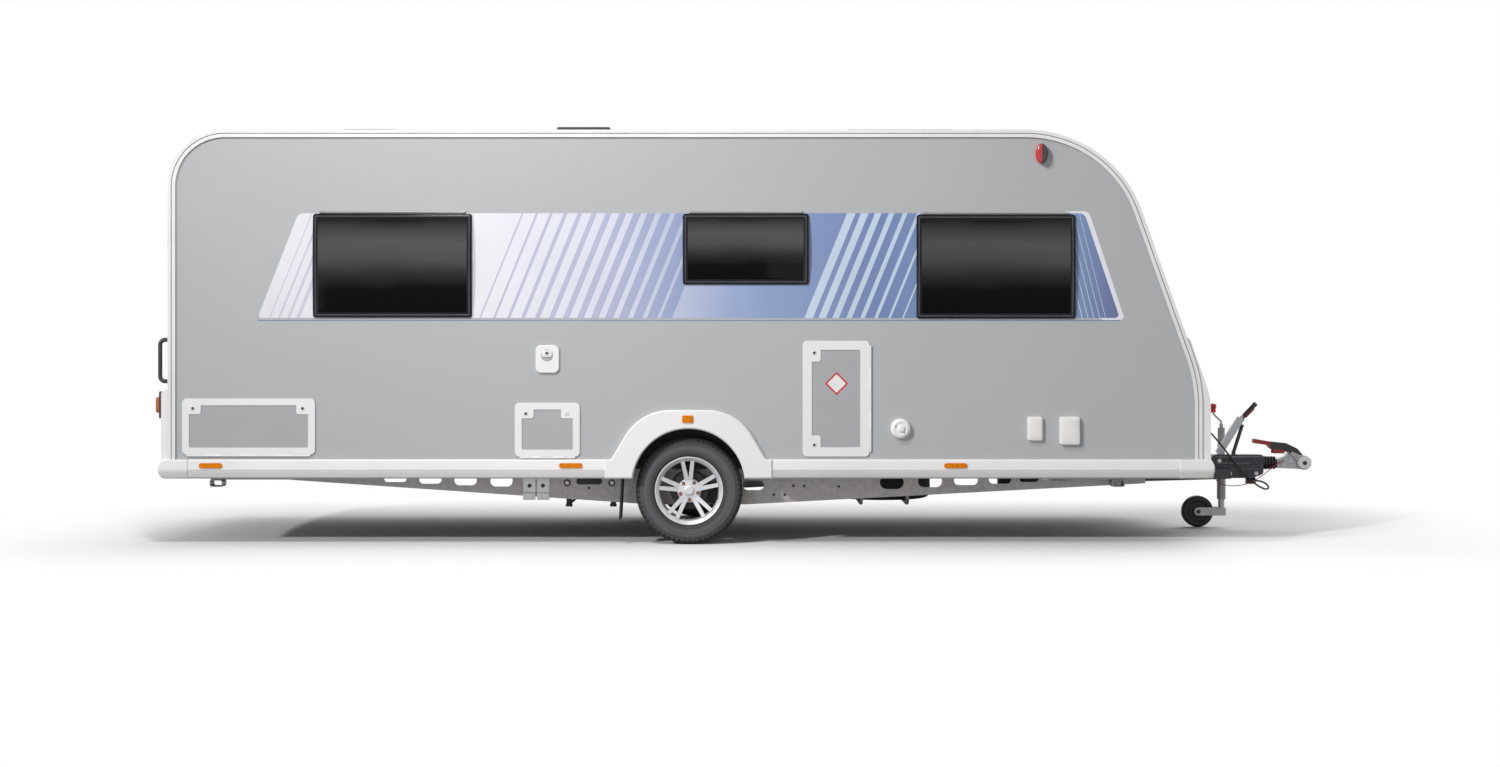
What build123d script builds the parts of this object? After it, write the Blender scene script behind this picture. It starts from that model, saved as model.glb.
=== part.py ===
from build123d import *
import math
import os

# Touring caravan on one axle. +X points forward to the coupling, +Y to the left, +Z up.
# Millimetres. X = 0 is the wheel axle until write() moves the origin to the middle of
# the overall length, and Z = 0 is the ground.

RIGHT = -1
LEFT = 1
SEAM = 0.3

# Body shell: width, heights, the bowed ends and the leaning front
BODY_HALF_WIDTH = 1195.0
BODY_LOW = 430.0
ROOF_Z = 2524.0
SHELL = 36.0
WALL = 32.0
REAR_X = -3166.0
REAR_BOW_RADIUS = 9000.0
REAR_CORNER_RADIUS = 338.0
FRONT_X = 3122.0
FRONT_BOW_RADIUS = 6000.0
FRONT_CORNER_RADIUS = 724.0
FRONT_LEAN = math.radians(19.3)
KNEE_Z = 1003.0
KNEE_RADIUS = 945.0
ROOF_LAP = 80.0
REAR_SEAM_Z = 2080.0
FLOOR_Z = 450.0
FLOOR_THICK = 42.0

# Nose and bumper mouldings that stand proud of the end panels
MOULDING_ROOT = 18.0
NOSE_TOP_Z = 1270.0
NOSE_STEP = 26.0
NOSE_PROUD = 56.0
NOSE_FULL_Z = 900.0
NOSE_RADIUS = 420.0
LIP_PROUD = 74.0
BUMPER_TOP_Z = 958.0
BUMPER_PROUD = 46.0
BUMPER_EDGE = 22.0

# Awning rails along the body's edges
RAIL_WIDTH = 46.0
RAIL_PROUD = 10.0
RAIL_CAP = 6.0
RAIL_RETURN = 35.0
GROOVE_INSET = 14.0
GROOVE_WIDTH = 5.0
GROOVE_DEPTH = 4.0

# Side skirts, corner caps and wheel arch trims
SKIRT_LOW = 407.0
SKIRT_HIGH = 523.0
SKIRT_PROUD = 18.0
SKIRT_GROOVE_Z = 452.0
SKIRT_EDGE = 8.0
CAP_PROUD = 22.0
CAP_FRONT_X = 2985.0
CAP_FRONT_TIP = 3200.0
CAP_REAR_X = -3045.0
CAP_REAR_TIP = -3228.0
CAP_NOSE = 50.0
ARCH_Z = 367.0
ARCH_INNER = 343.0
ARCH_TOP = 824.0
ARCH_SHOULDER = 295.0
ARCH_SHOULDER_RADIUS = 320.0
ARCH_WAIST = 472.0
ARCH_FOOT = 510.0
ARCH_BLEND = 24.0
ARCH_PROUD = 28.0

# Windows: openings, frames and bulged panes
WINDOW_CORNER = 38.0
WINDOW_LAP = 32.0
FRAME_WALL = 12.0
FRAME_INSIDE = 8.0
PANE_EDGE = 10.0
PANE_CROWN = 14.0
HINGE_RAIL = 14.0
FRONT_PANE_LOW = 1462.0
FRONT_PANE_HIGH = 2085.0
FRONT_PANE_PROUD = 8.0
FRONT_PANE_EDGE = 130.0
FRONT_PANE_POST = 50.0
FRONT_MIDDLE_SHARE = 0.431
# side, low x, high x, low z, high z
SIDE_WINDOWS = [
    (RIGHT, -2286.0, -1319.0, 1386.0, 2019.0),
    (RIGHT, -36.0, 730.0, 1587.0, 2019.0),
    (RIGHT, 1386.0, 2353.0, 1380.0, 2013.0),
    (LEFT, -2286.0, -1319.0, 1386.0, 2019.0),
    (LEFT, 1386.0, 2353.0, 1380.0, 2013.0),
]
front_middle = FRONT_MIDDLE_SHARE * BODY_HALF_WIDTH
front_inner = front_middle + FRONT_PANE_POST
front_outer = BODY_HALF_WIDTH - FRONT_PANE_EDGE
# low y, high y
FRONT_WINDOWS = [(-front_outer, -front_inner), (-front_middle, front_middle), (front_inner, front_outer)]
CURTAIN_WIDTH = 150.0
CURTAIN_THICK = 50.0

# Rooflights: middle x, middle y, length, width, height
ROOFLIGHT_TAPER = 40.0
ROOFLIGHTS = [
    (-2073.0, -330.0, 420.0, 420.0, 86.0),
    (-697.0, -330.0, 420.0, 420.0, 100.0),
    (1334.0, -250.0, 760.0, 560.0, 86.0),
]

# Hatches and entrance door: lip outside the wall, plug inside the frame, hinge barrel
LIP_GAP = 1.5
LIP_OUT = 8.0
LIP_CORNER = 28.0
PLUG_INSET = 24.0
PLUG_INSIDE = 2.0
RING_INSET = 8.0
RING_WALL = 10.0
INSERT_RECESS = 4.0
INSERT_CORNER = 10.0
LOCK_PAD_ALONG = 72.0
LOCK_PAD_ACROSS = 54.0
LOCK_PAD_CORNER = 14.0
HINGE_AXIS_OUT = 7.5
HINGE_DROP = 7.0
BARREL_RADIUS = 6.0
PIN_RADIUS = 3.5
PIN_PLAY = 0.05
KNUCKLE_GAP = 1.0
LOCKER_INSERT = 42.0
SERVICE_INSERT = 42.0
GAS_INSERT = 56.0
DOOR_INSERT = 70.0
LOCKER = (-3083.0, -2274.0, 553.0, 894.0)
SERVICE = (-1058.0, -663.0, 541.0, 869.0)
GAS = (693.0, 1100.0, 541.0, 1246.0)
DOOR = (560.0, 1185.0, 541.0, 2300.0)
DOOR_WINDOW = (655.0, 1090.0, 1440.0, 2120.0)
DOOR_WINDOW_PROUD = 8.0

# Running gear
WHEEL_INSET = 145.0
WHEEL_Y = BODY_HALF_WIDTH - WHEEL_INSET
TYRE_RADIUS = 327.0
TYRE_HALF_WIDTH = 97.5
TREAD_HALF_WIDTH = 74.0
BEAD_RADIUS = 192.0
RIM_FLANGE_RADIUS = 210.0
RIM_HALF_WIDTH = 87.0
RIM_SEAT_HALF_WIDTH = 77.0
BARREL_INNER = 178.0
HUB_RADIUS = 74.0
HUB_FACE = 15.0
HUB_FRONT = 56.0
CAP_RADIUS = 31.0
BOLT_CIRCLE = 56.0
BOLT_RECESS = 12.0
SPOKE_PAIRS = 5
SPOKE_TURN = 93.0
SPOKE_HALF_ANGLE = 9.5
SPOKE_ROOT = 27.0
SPOKE_TIP = 23.0
DRUM_RADIUS = 118.0
DRUM_DEPTH = 75.0
SPINDLE_RADIUS = 20.0
BACKPLATE = 5.0
AXLE_FORWARD = 155.0
AXLE_Z = 300.0
AXLE_RADIUS = 52.0
ARM_WIDTH = 42.0
ARM_CLEARANCE = 6.0
WHEEL_BOX_RADIUS = 371.0
WHEEL_BOX_WALL = 4.0
WHEEL_BOX_INNER_Y = WHEEL_Y - 135.0

# Chassis: tapered rails with lightening holes, cross members, drawbar
RAIL_OUTER_Y = WHEEL_Y - 220.0
RAIL_FLANGE = 60.0
RAIL_PLATE = 4.0
RAIL_REAR_X = -2950.0
RAIL_REAR_Z = 406.0
RAIL_DEEP_REAR_X = -250.0
RAIL_DEEP_FRONT_X = 350.0
RAIL_DEEP_Z = 222.0
RAIL_FRONT_X = 2850.0
RAIL_FRONT_Z = 354.0
AXLE_HOLE_PLAY = 1.0
# middle x, length, low z, high z
RAIL_HOLES = [
    (-1850.0, 140.0, 362.0, 405.0),
    (-1630.0, 140.0, 352.0, 405.0),
    (-1410.0, 140.0, 342.0, 405.0),
    (-1185.0, 140.0, 334.0, 405.0),
    (-635.0, 162.0, 347.0, 387.0),
    (395.0, 130.0, 312.0, 372.0),
    (1262.0, 150.0, 318.0, 405.0),
    (1501.0, 150.0, 330.0, 405.0),
    (1726.0, 150.0, 343.0, 405.0),
    (1940.0, 140.0, 352.0, 405.0),
    (2122.0, 120.0, 362.0, 405.0),
    (2310.0, 120.0, 372.0, 405.0),
]
CROSS_HEIGHT = 60.0
CROSS_WIDTH = 40.0
CROSS_X = [-2620.0, -1500.0, 700.0, 1880.0]
DRAWBAR_REAR_X = 1940.0
DRAWBAR_REAR_Y = RAIL_OUTER_Y - 95.0
DRAWBAR_FRONT_X = 3560.0
DRAWBAR_FRONT_Y = 98.0
DRAWBAR_WIDTH = 55.0
DRAWBAR_LOW = 337.0
DRAWBAR_HIGH = 404.0
JACK_X = -966.0
JACK_PLATE = 6.0
JACK_HALF_LENGTH = 82.0
JACK_LOW = 252.0
JACK_SPLIT = 9.0
JACK_SPLIT_TOP = 382.0
JACK_HOLE = 13.0
JACK_HOLE_Z = 340.0
JACK_HOLE_SPREAD = 42.0
JACK_LIP_HEIGHT = 44.0
JACK_LIP_OUT = 16.0
MUD_FLAP_X = -404.0
MUD_FLAP_LOW = 150.0
MUD_FLAP_THICK = 9.0
MUD_FLAP_LEAN = 3.0
SPARE_X = 1245.0
SPARE_LOW = 208.0
CARRIER_RADIUS = 13.0
CARRIER_SPREAD = 150.0
CARRIER_GAP = 8.0
# x of the drop, x where the stay meets the rail
WASTE_PIPES = [(-772.0, -660.0), (-492.0, -412.0)]
WASTE_Y = -(RAIL_OUTER_Y - 130.0)
WASTE_LOW = 200.0
WASTE_RADIUS = 17.0
WASTE_STAY = 9.0
WASTE_STAY_RISE = 90.0

# Corner steadies: pivot x, direction of the folded leg
STEADIES = {
    "steady_rear_right": (-2480.0, RIGHT, -1),
    "steady_rear_left": (-2480.0, LEFT, -1),
    "steady_front_right": (2200.0, RIGHT, 1),
    "steady_front_left": (2200.0, LEFT, 1),
}
STEADY_Y = RAIL_OUTER_Y + 100.0
STEADY_PIVOT_Z = 402.0
STEADY_LENGTH = 500.0
STEADY_WIDTH = 46.0
STEADY_DEPTH = 34.0
STEADY_PLATE = 4.0
STEADY_PIN = 8.0
STEADY_FOOT = 90.0
STEADY_FOOT_LENGTH = 82.0
STEADY_FOOT_DROP = 44.0
STEADY_FOOT_WALL = 7.0
STEADY_BOSS = 14.0
EAR_HALF = 24.0
EAR_BELOW = 18.0
BRACKET_HALF = 60.0
EAR_GAP = 5.0

# Hitch
HOUSING_REAR_X = 3440.0
HOUSING_FRONT_X = 3785.0
HOUSING_LOW = 340.0
HOUSING_HIGH = 496.0
HOUSING_HALF_WIDTH = 62.0
FLANK_OUT = 8.0
SHAFT_Z = 440.0
SHAFT_RADIUS = 25.0
BELLOWS_END_X = 3880.0
BELLOWS_RADIUS = 47.0
BELLOWS_RIBS = 5
BALL_X = 4062.0
BALL_Z = 440.0
SOCKET_RADIUS = 25.2
HEAD_RADIUS = 46.0
HEAD_HALF_WIDTH = 42.0
HEAD_REAR_X = 3881.0
COUPLING_TIP_X = BALL_X + HEAD_RADIUS
HEAD_SHOULDER = (88.0, 70.0)
HANDLE_WIDTH = 44.0
# stabiliser handle, seen from the side: x and z from the ball, corner radius
STABILISER = [
    (-40.0, 94.0, 50.0), (-117.0, 131.0, 50.0), (-232.0, 143.0, 40.0), (-334.0, 161.0, 6.0),
    (-334.0, 131.0, 6.0), (-240.0, 117.0, 10.0), (-220.0, 92.0, 12.0), (-112.0, 72.0, 20.0),
]
LEVER_BASE = (3494.0, 500.0)
LEVER_TOP = (3644.0, 738.0)
LEVER_LOW_WIDTH = 46.0
LEVER_WALL = 4.0
GRIP_END = (3738.0, 829.0)
GRIP_RADIUS = 15.0
LEVER_Y = -20.0
LEVER_WIDTH = 34.0
STRUT_TOP = (3655.0, 695.0)
STRUT_BASE = (3595.0, 508.0)
STRUT_RADIUS = 12.0

# Jockey wheel beside the overrun housing
JOCKEY_X = 3553.0
JOCKEY_Y = 150.0
JOCKEY_OUTER = 29.0
JOCKEY_BORE = 21.0
JOCKEY_INNER = 20.95
JOCKEY_TOP = 668.0
JOCKEY_TUBE_LOW = 186.0
JOCKEY_HEADROOM = 180.0
JOCKEY_INNER_LOW = 134.0
JOCKEY_WHEEL_RADIUS = 105.0
JOCKEY_WHEEL_HALF = 30.0
JOCKEY_TRAIL = 163.0
FORK_PLATE = 6.0
FORK_GAP = 5.0
FORK_PIN = 8.0
FORK_ARM_HALF = 27.0
SWIVEL_PIN = 12.0
CRANK_RADIUS = 8.0
CRANK_REACH = 54.0
CRANK_LOW = 26.0
CRANK_HIGH = 94.0
CRANK_STUB = 15.0
KNOB_RADIUS = 17.0
KNOB_HEIGHT = 58.0
CLAMP_LOW = 62.0
CLAMP_HIGH = 4.0
CLAMP_HALF = 34.0

# Lamps and fittings
TAIL_LAMP_Y = (BODY_HALF_WIDTH - 230.0, BODY_HALF_WIDTH - 17.0)
TAIL_LAMP_Z = (772.0, 936.0)
TAIL_LAMP_CORNER = 20.0
TAIL_LAMP_PROUD = 16.0
TAIL_LENS_Y = (BODY_HALF_WIDTH - 212.0, BODY_HALF_WIDTH - 27.0)
TAIL_LENS_Z = (806.0, 902.0)
TAIL_LENS_PROUD = 22.0
TAIL_LENS_EDGE = 9.0
MARKER_LAMP = (2146.0, 2383.0)
MARKER_LENGTH = 74.0
MARKER_HEIGHT = 122.0
MARKER_OUT = 44.0
MARKER_EDGE = 16.0
# middle x, middle z, length, height, corner, depth of the surface that carries it
AMBER_MARKERS = [
    (-2906.0, 486.0, 140.0, 30.0, 13.0, SKIRT_PROUD),
    (-717.0, 486.0, 140.0, 30.0, 13.0, SKIRT_PROUD),
    (1623.0, 486.0, 140.0, 30.0, 13.0, SKIRT_PROUD),
    (-6.0, 769.0, 66.0, 44.0, 6.0, ARCH_PROUD),
]
MARKER_PROUD = 7.0
# low x, high x, low z, high z, depth, corner
SERVICE_BOXES = [
    (-931.0, -788.0, 1049.0, 1218.0, 14.0, 34.0),
    (2061.0, 2152.0, 638.0, 784.0, 24.0, 14.0),
    (2256.0, 2377.0, 614.0, 784.0, 30.0, 14.0),
]
SERVICE_BOX_EDGE = 5.0
FLUE = (1289.0, 711.0, 61.0)
FLUE_OUT = 34.0
FLUE_EDGE = 16.0
# low x, high x, low z, high z
FRIDGE_VENTS = [(-1180.0, -700.0, 1330.0, 1560.0), (-1180.0, -700.0, 740.0, 970.0)]
VENT_PROUD = 12.0
VENT_SLOTS = 6
VENT_MARGIN = 22.0
HANDLE_Y = BODY_HALF_WIDTH - 77.0
HANDLE_Z = (998.0, 1252.0)
HANDLE_OUT = 64.0
HANDLE_RADIUS = 13.0
HANDLE_BEND = 30.0

# Power cable and breakaway cable
CABLE_RADIUS = 6.0
PLUG_RADIUS = 21.0
PLUG_LENGTH = 62.0
PLUG_Z = HOUSING_LOW - SEAM - PLUG_RADIUS
CABLE_ROUTE = [
    (3307.0, -78.0, 690.0), (3354.0, -78.0, 690.0), (3407.0, -86.0, 663.0), (3460.0, -96.0, 606.0),
    (3512.0, -102.0, 540.0), (3562.0, -107.0, 474.0), (3612.0, -108.0, 411.0), (3662.0, -108.0, 356.0),
    (3708.0, -106.0, 314.0), (3752.0, -102.0, 283.0), (3790.0, -92.0, 268.0), (3816.0, -74.0, 272.0),
    (3820.0, -48.0, 288.0), (3806.0, -20.0, 306.0), (3776.0, -2.0, PLUG_Z), (3744.0, -2.0, PLUG_Z),
]
BREAKAWAY_RADIUS = 2.5
BREAKAWAY_ROUTE = [
    (3458.0, -104.0, 334.2), (3478.0, -101.0, 312.0), (3520.0, -96.0, 296.0), (3570.0, -92.0, 290.0),
    (3622.0, -88.0, 293.0), (3672.0, -85.0, 305.0), (3720.0, -82.0, 325.0), (3766.0, -79.0, 353.0),
    (3808.0, -74.0, 385.0), (3849.0, -67.0, 416.0), (3888.0, -57.0, 441.0), (3925.0, -44.8, 455.0),
]
CABLE_BEND_SHARE = 0.45
GLAND_RADIUS = 14.0
GLAND_LENGTH = 9.0

FRONT_AXIS_X = FRONT_X - math.sqrt(FRONT_BOW_RADIUS**2 - BODY_HALF_WIDTH**2)
REAR_AXIS_X = REAR_X + math.sqrt(REAR_BOW_RADIUS**2 - BODY_HALF_WIDTH**2)
REAR_END_X = REAR_AXIS_X - REAR_BOW_RADIUS - BUMPER_PROUD
ORIGIN_X = (COUPLING_TIP_X + REAR_END_X) / 2


def write(name, *shapes):
    """One node's solids, moved so that the middle of the overall length is at X = 0"""
    solids = [solid for shape in shapes for solid in shape.solids()]
    moved = [Pos(X=-ORIGIN_X) * solid for solid in solids]
    node = moved[0] if len(moved) == 1 else Compound(children=moved)
    export_step(node, os.path.join("parts", name + ".step"))


def xz_prism(sketch, low, high):
    """Solid of a sketch in X and Z between two values of Y"""
    return extrude(Plane.XZ.offset(-high) * sketch, high - low)


def yz_prism(sketch, low, high):
    """Solid of a sketch in Y and Z between two values of X"""
    return extrude(Plane.YZ.offset(low) * sketch, high - low)


def xy_prism(sketch, low, high):
    """Solid of a sketch in X and Y between two heights"""
    return extrude(Plane.XY.offset(low) * sketch, high - low)


def span_box(x, y, z):
    """Box from the low and high value on each axis"""
    middle = [(low + high) / 2 for low, high in (x, y, z)]
    return Pos(*middle) * Box(*(abs(high - low) for low, high in (x, y, z)))


def panel(low_x, high_x, low_z, high_z, corner, inset=0.0):
    """Rounded rectangle sketch, drawn in by inset on every side"""
    length = high_x - low_x - 2 * inset
    height = high_z - low_z - 2 * inset
    return Pos((low_x + high_x) / 2, (low_z + high_z) / 2) * RectangleRounded(length, height, corner)


def on_wall(side, sketch, low, high):
    """Solid between two depths, measured outward from the outer face of a side wall"""
    ends = sorted((side * (BODY_HALF_WIDTH + low), side * (BODY_HALF_WIDTH + high)))
    return xz_prism(sketch, *ends)


def both_sides(shape):
    """A left-hand piece and its mirror image"""
    return [shape, mirror(shape, about=Plane.XZ)]


def rod(start, end, radius):
    """Round bar between two points"""
    way = Vector(*end) - Vector(*start)
    return extrude(Plane(origin=start, z_dir=way) * Circle(radius), way.length)


# Body envelope: two drums of revolution about upright axes, cut to the body's width


def front_reach(z, inset=0.0):
    """Distance of the leaning front from the front axis at a height"""
    return FRONT_BOW_RADIUS - inset / math.cos(FRONT_LEAN) - math.tan(FRONT_LEAN) * (z - KNEE_Z)


def knee_height(inset):
    """Height where the leaning and the upright front meet"""
    return KNEE_Z - inset * math.tan(FRONT_LEAN / 2)


def drum(outline, axis_x):
    return Pos(X=axis_x) * revolve(make_face(Plane.XZ * outline), Axis.Z)


def front_drum(inset, low):
    top = ROOF_Z - inset
    reach = FRONT_BOW_RADIUS - inset
    corners = [(0, top), (front_reach(top, inset), top), (reach, knee_height(inset)), (reach, low)]
    outline = FilletPolyline(*corners, radius=[FRONT_CORNER_RADIUS - inset, KNEE_RADIUS - inset])
    return drum(outline + Polyline((reach, low), (0, low), (0, top)), FRONT_AXIS_X)


def rear_drum(inset, low):
    top = ROOF_Z - inset
    reach = REAR_BOW_RADIUS - inset
    outline = FilletPolyline((0, top), (reach, top), (reach, low), radius=[REAR_CORNER_RADIUS - inset])
    return drum(outline + Polyline((reach, low), (0, low), (0, top)), REAR_AXIS_X)


def envelope(inset, half_width, low=BODY_LOW):
    """Body volume drawn in by inset at the roof and both ends"""
    slab = span_box((2 * REAR_X, 2 * FRONT_X), (-half_width, half_width), (low, 2 * ROOF_Z))
    return (front_drum(inset, low) & slab) & (rear_drum(inset, low) & slab)


def upright_cylinder(axis_x, radius):
    return Pos(axis_x, 0, ROOF_Z) * Cylinder(radius, 2 * ROOF_Z)


# End panels, roof and side walls

ring = envelope(0, BODY_HALF_WIDTH) - envelope(SHELL, 2 * BODY_HALF_WIDTH, 0)
corner_tangent = FRONT_CORNER_RADIUS * math.tan((math.pi / 2 - FRONT_LEAN) / 2)
roof_joint = front_reach(ROOF_Z) - corner_tangent - ROOF_LAP
front_half = span_box((0, 2 * FRONT_X), (-2 * BODY_HALF_WIDTH, 2 * BODY_HALF_WIDTH), (0, 2 * ROOF_Z))
width_slab = span_box((2 * REAR_X, 2 * FRONT_X), (-BODY_HALF_WIDTH, BODY_HALF_WIDTH), (0, 2 * ROOF_Z))
rear_half = span_box((2 * REAR_X, 0), (-2 * BODY_HALF_WIDTH, 2 * BODY_HALF_WIDTH), (0, 2 * ROOF_Z))


def nose_moulding():
    """Lower front: a bowed moulding that steps out of the panel and ends in a lip"""
    root = MOULDING_ROOT
    reach = FRONT_BOW_RADIUS
    inner = FilletPolyline(
        (reach - root, SKIRT_LOW), (reach - root, knee_height(root)),
        (front_reach(NOSE_TOP_Z, root), NOSE_TOP_Z),
        radius=[KNEE_RADIUS - root])
    outer = FilletPolyline(
        (front_reach(NOSE_TOP_Z, root), NOSE_TOP_Z),
        (front_reach(NOSE_TOP_Z) + NOSE_STEP, NOSE_TOP_Z - NOSE_STEP / 2),
        (reach + NOSE_PROUD, NOSE_FULL_Z),
        (reach + NOSE_PROUD, SKIRT_HIGH),
        (reach + LIP_PROUD, SKIRT_HIGH - NOSE_STEP),
        (reach + LIP_PROUD, SKIRT_LOW),
        (reach - root, SKIRT_LOW),
        radius=[NOSE_STEP / 4, NOSE_RADIUS, NOSE_STEP / 2, NOSE_STEP / 2, NOSE_STEP / 2])
    return drum(inner + outer, FRONT_AXIS_X) & width_slab & front_half


def bumper_moulding():
    """Lower rear: a bowed moulding that carries the tail lamps"""
    root = REAR_BOW_RADIUS - MOULDING_ROOT
    face = REAR_BOW_RADIUS + BUMPER_PROUD
    outline = FilletPolyline(
        (root, BUMPER_TOP_Z), (face, BUMPER_TOP_Z - BUMPER_EDGE), (face, SKIRT_LOW), (root, SKIRT_LOW),
        radius=[BUMPER_EDGE, BUMPER_EDGE / 2])
    return drum(outline + Line((root, SKIRT_LOW), (root, BUMPER_TOP_Z)), REAR_AXIS_X) & width_slab & rear_half


front_panel = ((ring & front_half) - upright_cylinder(FRONT_AXIS_X, roof_joint)) + nose_moulding()
above_seam = span_box(
    (2 * REAR_X, 2 * FRONT_X), (-2 * BODY_HALF_WIDTH, 2 * BODY_HALF_WIDTH), (REAR_SEAM_Z, 2 * ROOF_Z))
roof_panel = (ring & above_seam) & upright_cylinder(FRONT_AXIS_X, roof_joint - SEAM)
rear_panel = (ring & rear_half) - Pos(Z=-SEAM) * above_seam + bumper_moulding()

nose_reach = FRONT_AXIS_X + math.sqrt((FRONT_BOW_RADIUS + NOSE_PROUD) ** 2 - CABLE_ROUTE[0][1] ** 2)
gland_root = (nose_reach - MOULDING_ROOT, *CABLE_ROUTE[0][1:])
gland_end = (nose_reach + GLAND_LENGTH, *CABLE_ROUTE[0][1:])
front_panel = front_panel + rod(gland_root, gland_end, GLAND_RADIUS)
front_panes = []
pane_shell = (front_drum(-FRONT_PANE_PROUD, BODY_LOW) - front_drum(-SEAM, 0)) & front_half
for low_y, high_y in FRONT_WINDOWS:
    pane = panel(low_y, high_y, FRONT_PANE_LOW, FRONT_PANE_HIGH, 2 * WINDOW_CORNER)
    hole = panel(low_y, high_y, FRONT_PANE_LOW, FRONT_PANE_HIGH, WINDOW_CORNER, WINDOW_LAP)
    front_panes.append(pane_shell & yz_prism(pane, 0, 2 * FRONT_X))
    front_panel = front_panel - yz_prism(hole, 0, 2 * FRONT_X)

wall_solid = envelope(SHELL + SEAM, BODY_HALF_WIDTH)
walls = {}
for side in (RIGHT, LEFT):
    slab = on_wall(side, panel(2 * REAR_X, 2 * FRONT_X, 0, 2 * ROOF_Z, SEAM), -WALL, 0)
    wall = wall_solid & slab
    wall = wall - on_wall(side, Pos(0, ARCH_Z) * Circle(ARCH_INNER), -2 * WALL, WALL)
    for window_side, *sizes in SIDE_WINDOWS:
        if window_side == side:
            wall = wall - on_wall(side, panel(*sizes, WINDOW_CORNER, WINDOW_LAP), -2 * WALL, WALL)
    walls[side] = wall
for side, sizes in ((RIGHT, LOCKER), (RIGHT, SERVICE), (RIGHT, GAS), (LEFT, DOOR)):
    walls[side] = walls[side] - on_wall(side, panel(*sizes, LIP_CORNER, RING_INSET), -2 * WALL, WALL)

# Floor and wheel boxes

wheel_box_sketch = Pos(0, ARCH_Z) * Circle(WHEEL_BOX_RADIUS)
wheel_box_inside = Pos(0, ARCH_Z) * Circle(WHEEL_BOX_RADIUS - WHEEL_BOX_WALL)
box_outer_y = BODY_HALF_WIDTH - WALL - SEAM
wheel_box = xz_prism(wheel_box_sketch, WHEEL_BOX_INNER_Y, box_outer_y)
wheel_box = wheel_box - xz_prism(wheel_box_inside, WHEEL_BOX_INNER_Y + WHEEL_BOX_WALL, box_outer_y + WALL)
above_floor = span_box((REAR_X, FRONT_X), (0, BODY_HALF_WIDTH), (FLOOR_Z, ROOF_Z))
wheel_box = wheel_box & above_floor
floor = envelope(SHELL + SEAM, BODY_HALF_WIDTH - WALL - SEAM, FLOOR_Z) & span_box(
    (2 * REAR_X, 2 * FRONT_X), (-BODY_HALF_WIDTH, BODY_HALF_WIDTH), (FLOOR_Z, FLOOR_Z + FLOOR_THICK))
wheel_well = xz_prism(
    Pos(0, ARCH_Z) * Circle(WHEEL_BOX_RADIUS + SEAM), WHEEL_BOX_INNER_Y - SEAM, BODY_HALF_WIDTH)
for cut in both_sides(wheel_well):
    floor = floor - cut

# Awning rails

rail_outer = envelope(-RAIL_CAP, BODY_HALF_WIDTH + RAIL_PROUD, SKIRT_HIGH)
rail_inside = envelope(RAIL_WIDTH - RAIL_CAP, 2 * BODY_HALF_WIDTH, 0)
body_room = envelope(-SEAM, BODY_HALF_WIDTH + SEAM, 0)
groove = envelope(GROOVE_INSET, 2 * BODY_HALF_WIDTH, 0) - envelope(
    GROOVE_INSET + GROOVE_WIDTH, 3 * BODY_HALF_WIDTH, -SEAM)
groove = groove & span_box(
    (2 * REAR_X, 2 * FRONT_X), (BODY_HALF_WIDTH + RAIL_PROUD - GROOVE_DEPTH, 2 * BODY_HALF_WIDTH),
    (0, 2 * ROOF_Z))
rail_zone = span_box(
    (2 * REAR_X, 2 * FRONT_X), (BODY_HALF_WIDTH - RAIL_RETURN, 2 * BODY_HALF_WIDTH),
    (SKIRT_HIGH + SEAM, 2 * ROOF_Z))
nose_room = span_box((0, 2 * FRONT_X), (0, BODY_HALF_WIDTH + SEAM), (0, NOSE_TOP_Z + NOSE_STEP))
bumper_room = span_box((2 * REAR_X, 0), (0, BODY_HALF_WIDTH + SEAM), (0, BUMPER_TOP_Z + BUMPER_EDGE))
awning_rail = ((rail_outer - rail_inside - body_room) & rail_zone) - groove - nose_room - bumper_room

# Side skirts and corner caps

face = BODY_HALF_WIDTH
skirt_section = make_face(Polyline(
    (face + SEAM, SKIRT_LOW), (face + SKIRT_PROUD - SKIRT_EDGE, SKIRT_LOW),
    (face + SKIRT_PROUD, SKIRT_LOW + SKIRT_EDGE),
    (face + SKIRT_PROUD, SKIRT_GROOVE_Z - SKIRT_EDGE / 2),
    (face + SKIRT_PROUD - SKIRT_EDGE / 2, SKIRT_GROOVE_Z),
    (face + SKIRT_PROUD, SKIRT_GROOVE_Z + SKIRT_EDGE / 2), (face + SKIRT_PROUD, SKIRT_HIGH - SKIRT_EDGE),
    (face + SKIRT_PROUD - SKIRT_EDGE, SKIRT_HIGH), (face + SEAM, SKIRT_HIGH), close=True))
skirts = [
    yz_prism(skirt_section, CAP_REAR_X + SEAM, -ARCH_FOOT - SEAM),
    yz_prism(skirt_section, ARCH_FOOT + SEAM, CAP_FRONT_X - SEAM),
]


def corner_cap(joint_x, tip_x):
    """Bullet-shaped end of the skirt"""
    low_x, high_x = sorted((joint_x, tip_x))
    square = Pos((joint_x + tip_x) / 2, (SKIRT_LOW + SKIRT_HIGH) / 2) * Rectangle(
        high_x - low_x, SKIRT_HIGH - SKIRT_LOW)
    ends = [corner for corner in square.vertices() if abs(corner.X - tip_x) < SEAM]
    cap = on_wall(LEFT, fillet(ends, CAP_NOSE), SEAM, CAP_PROUD)
    outer_edges = cap.faces().sort_by(Axis.Y)[-1].edges()
    return fillet(outer_edges, SKIRT_EDGE)


caps = [corner_cap(CAP_FRONT_X, CAP_FRONT_TIP), corner_cap(CAP_REAR_X, CAP_REAR_TIP)]

# Wheel arch trims

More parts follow.
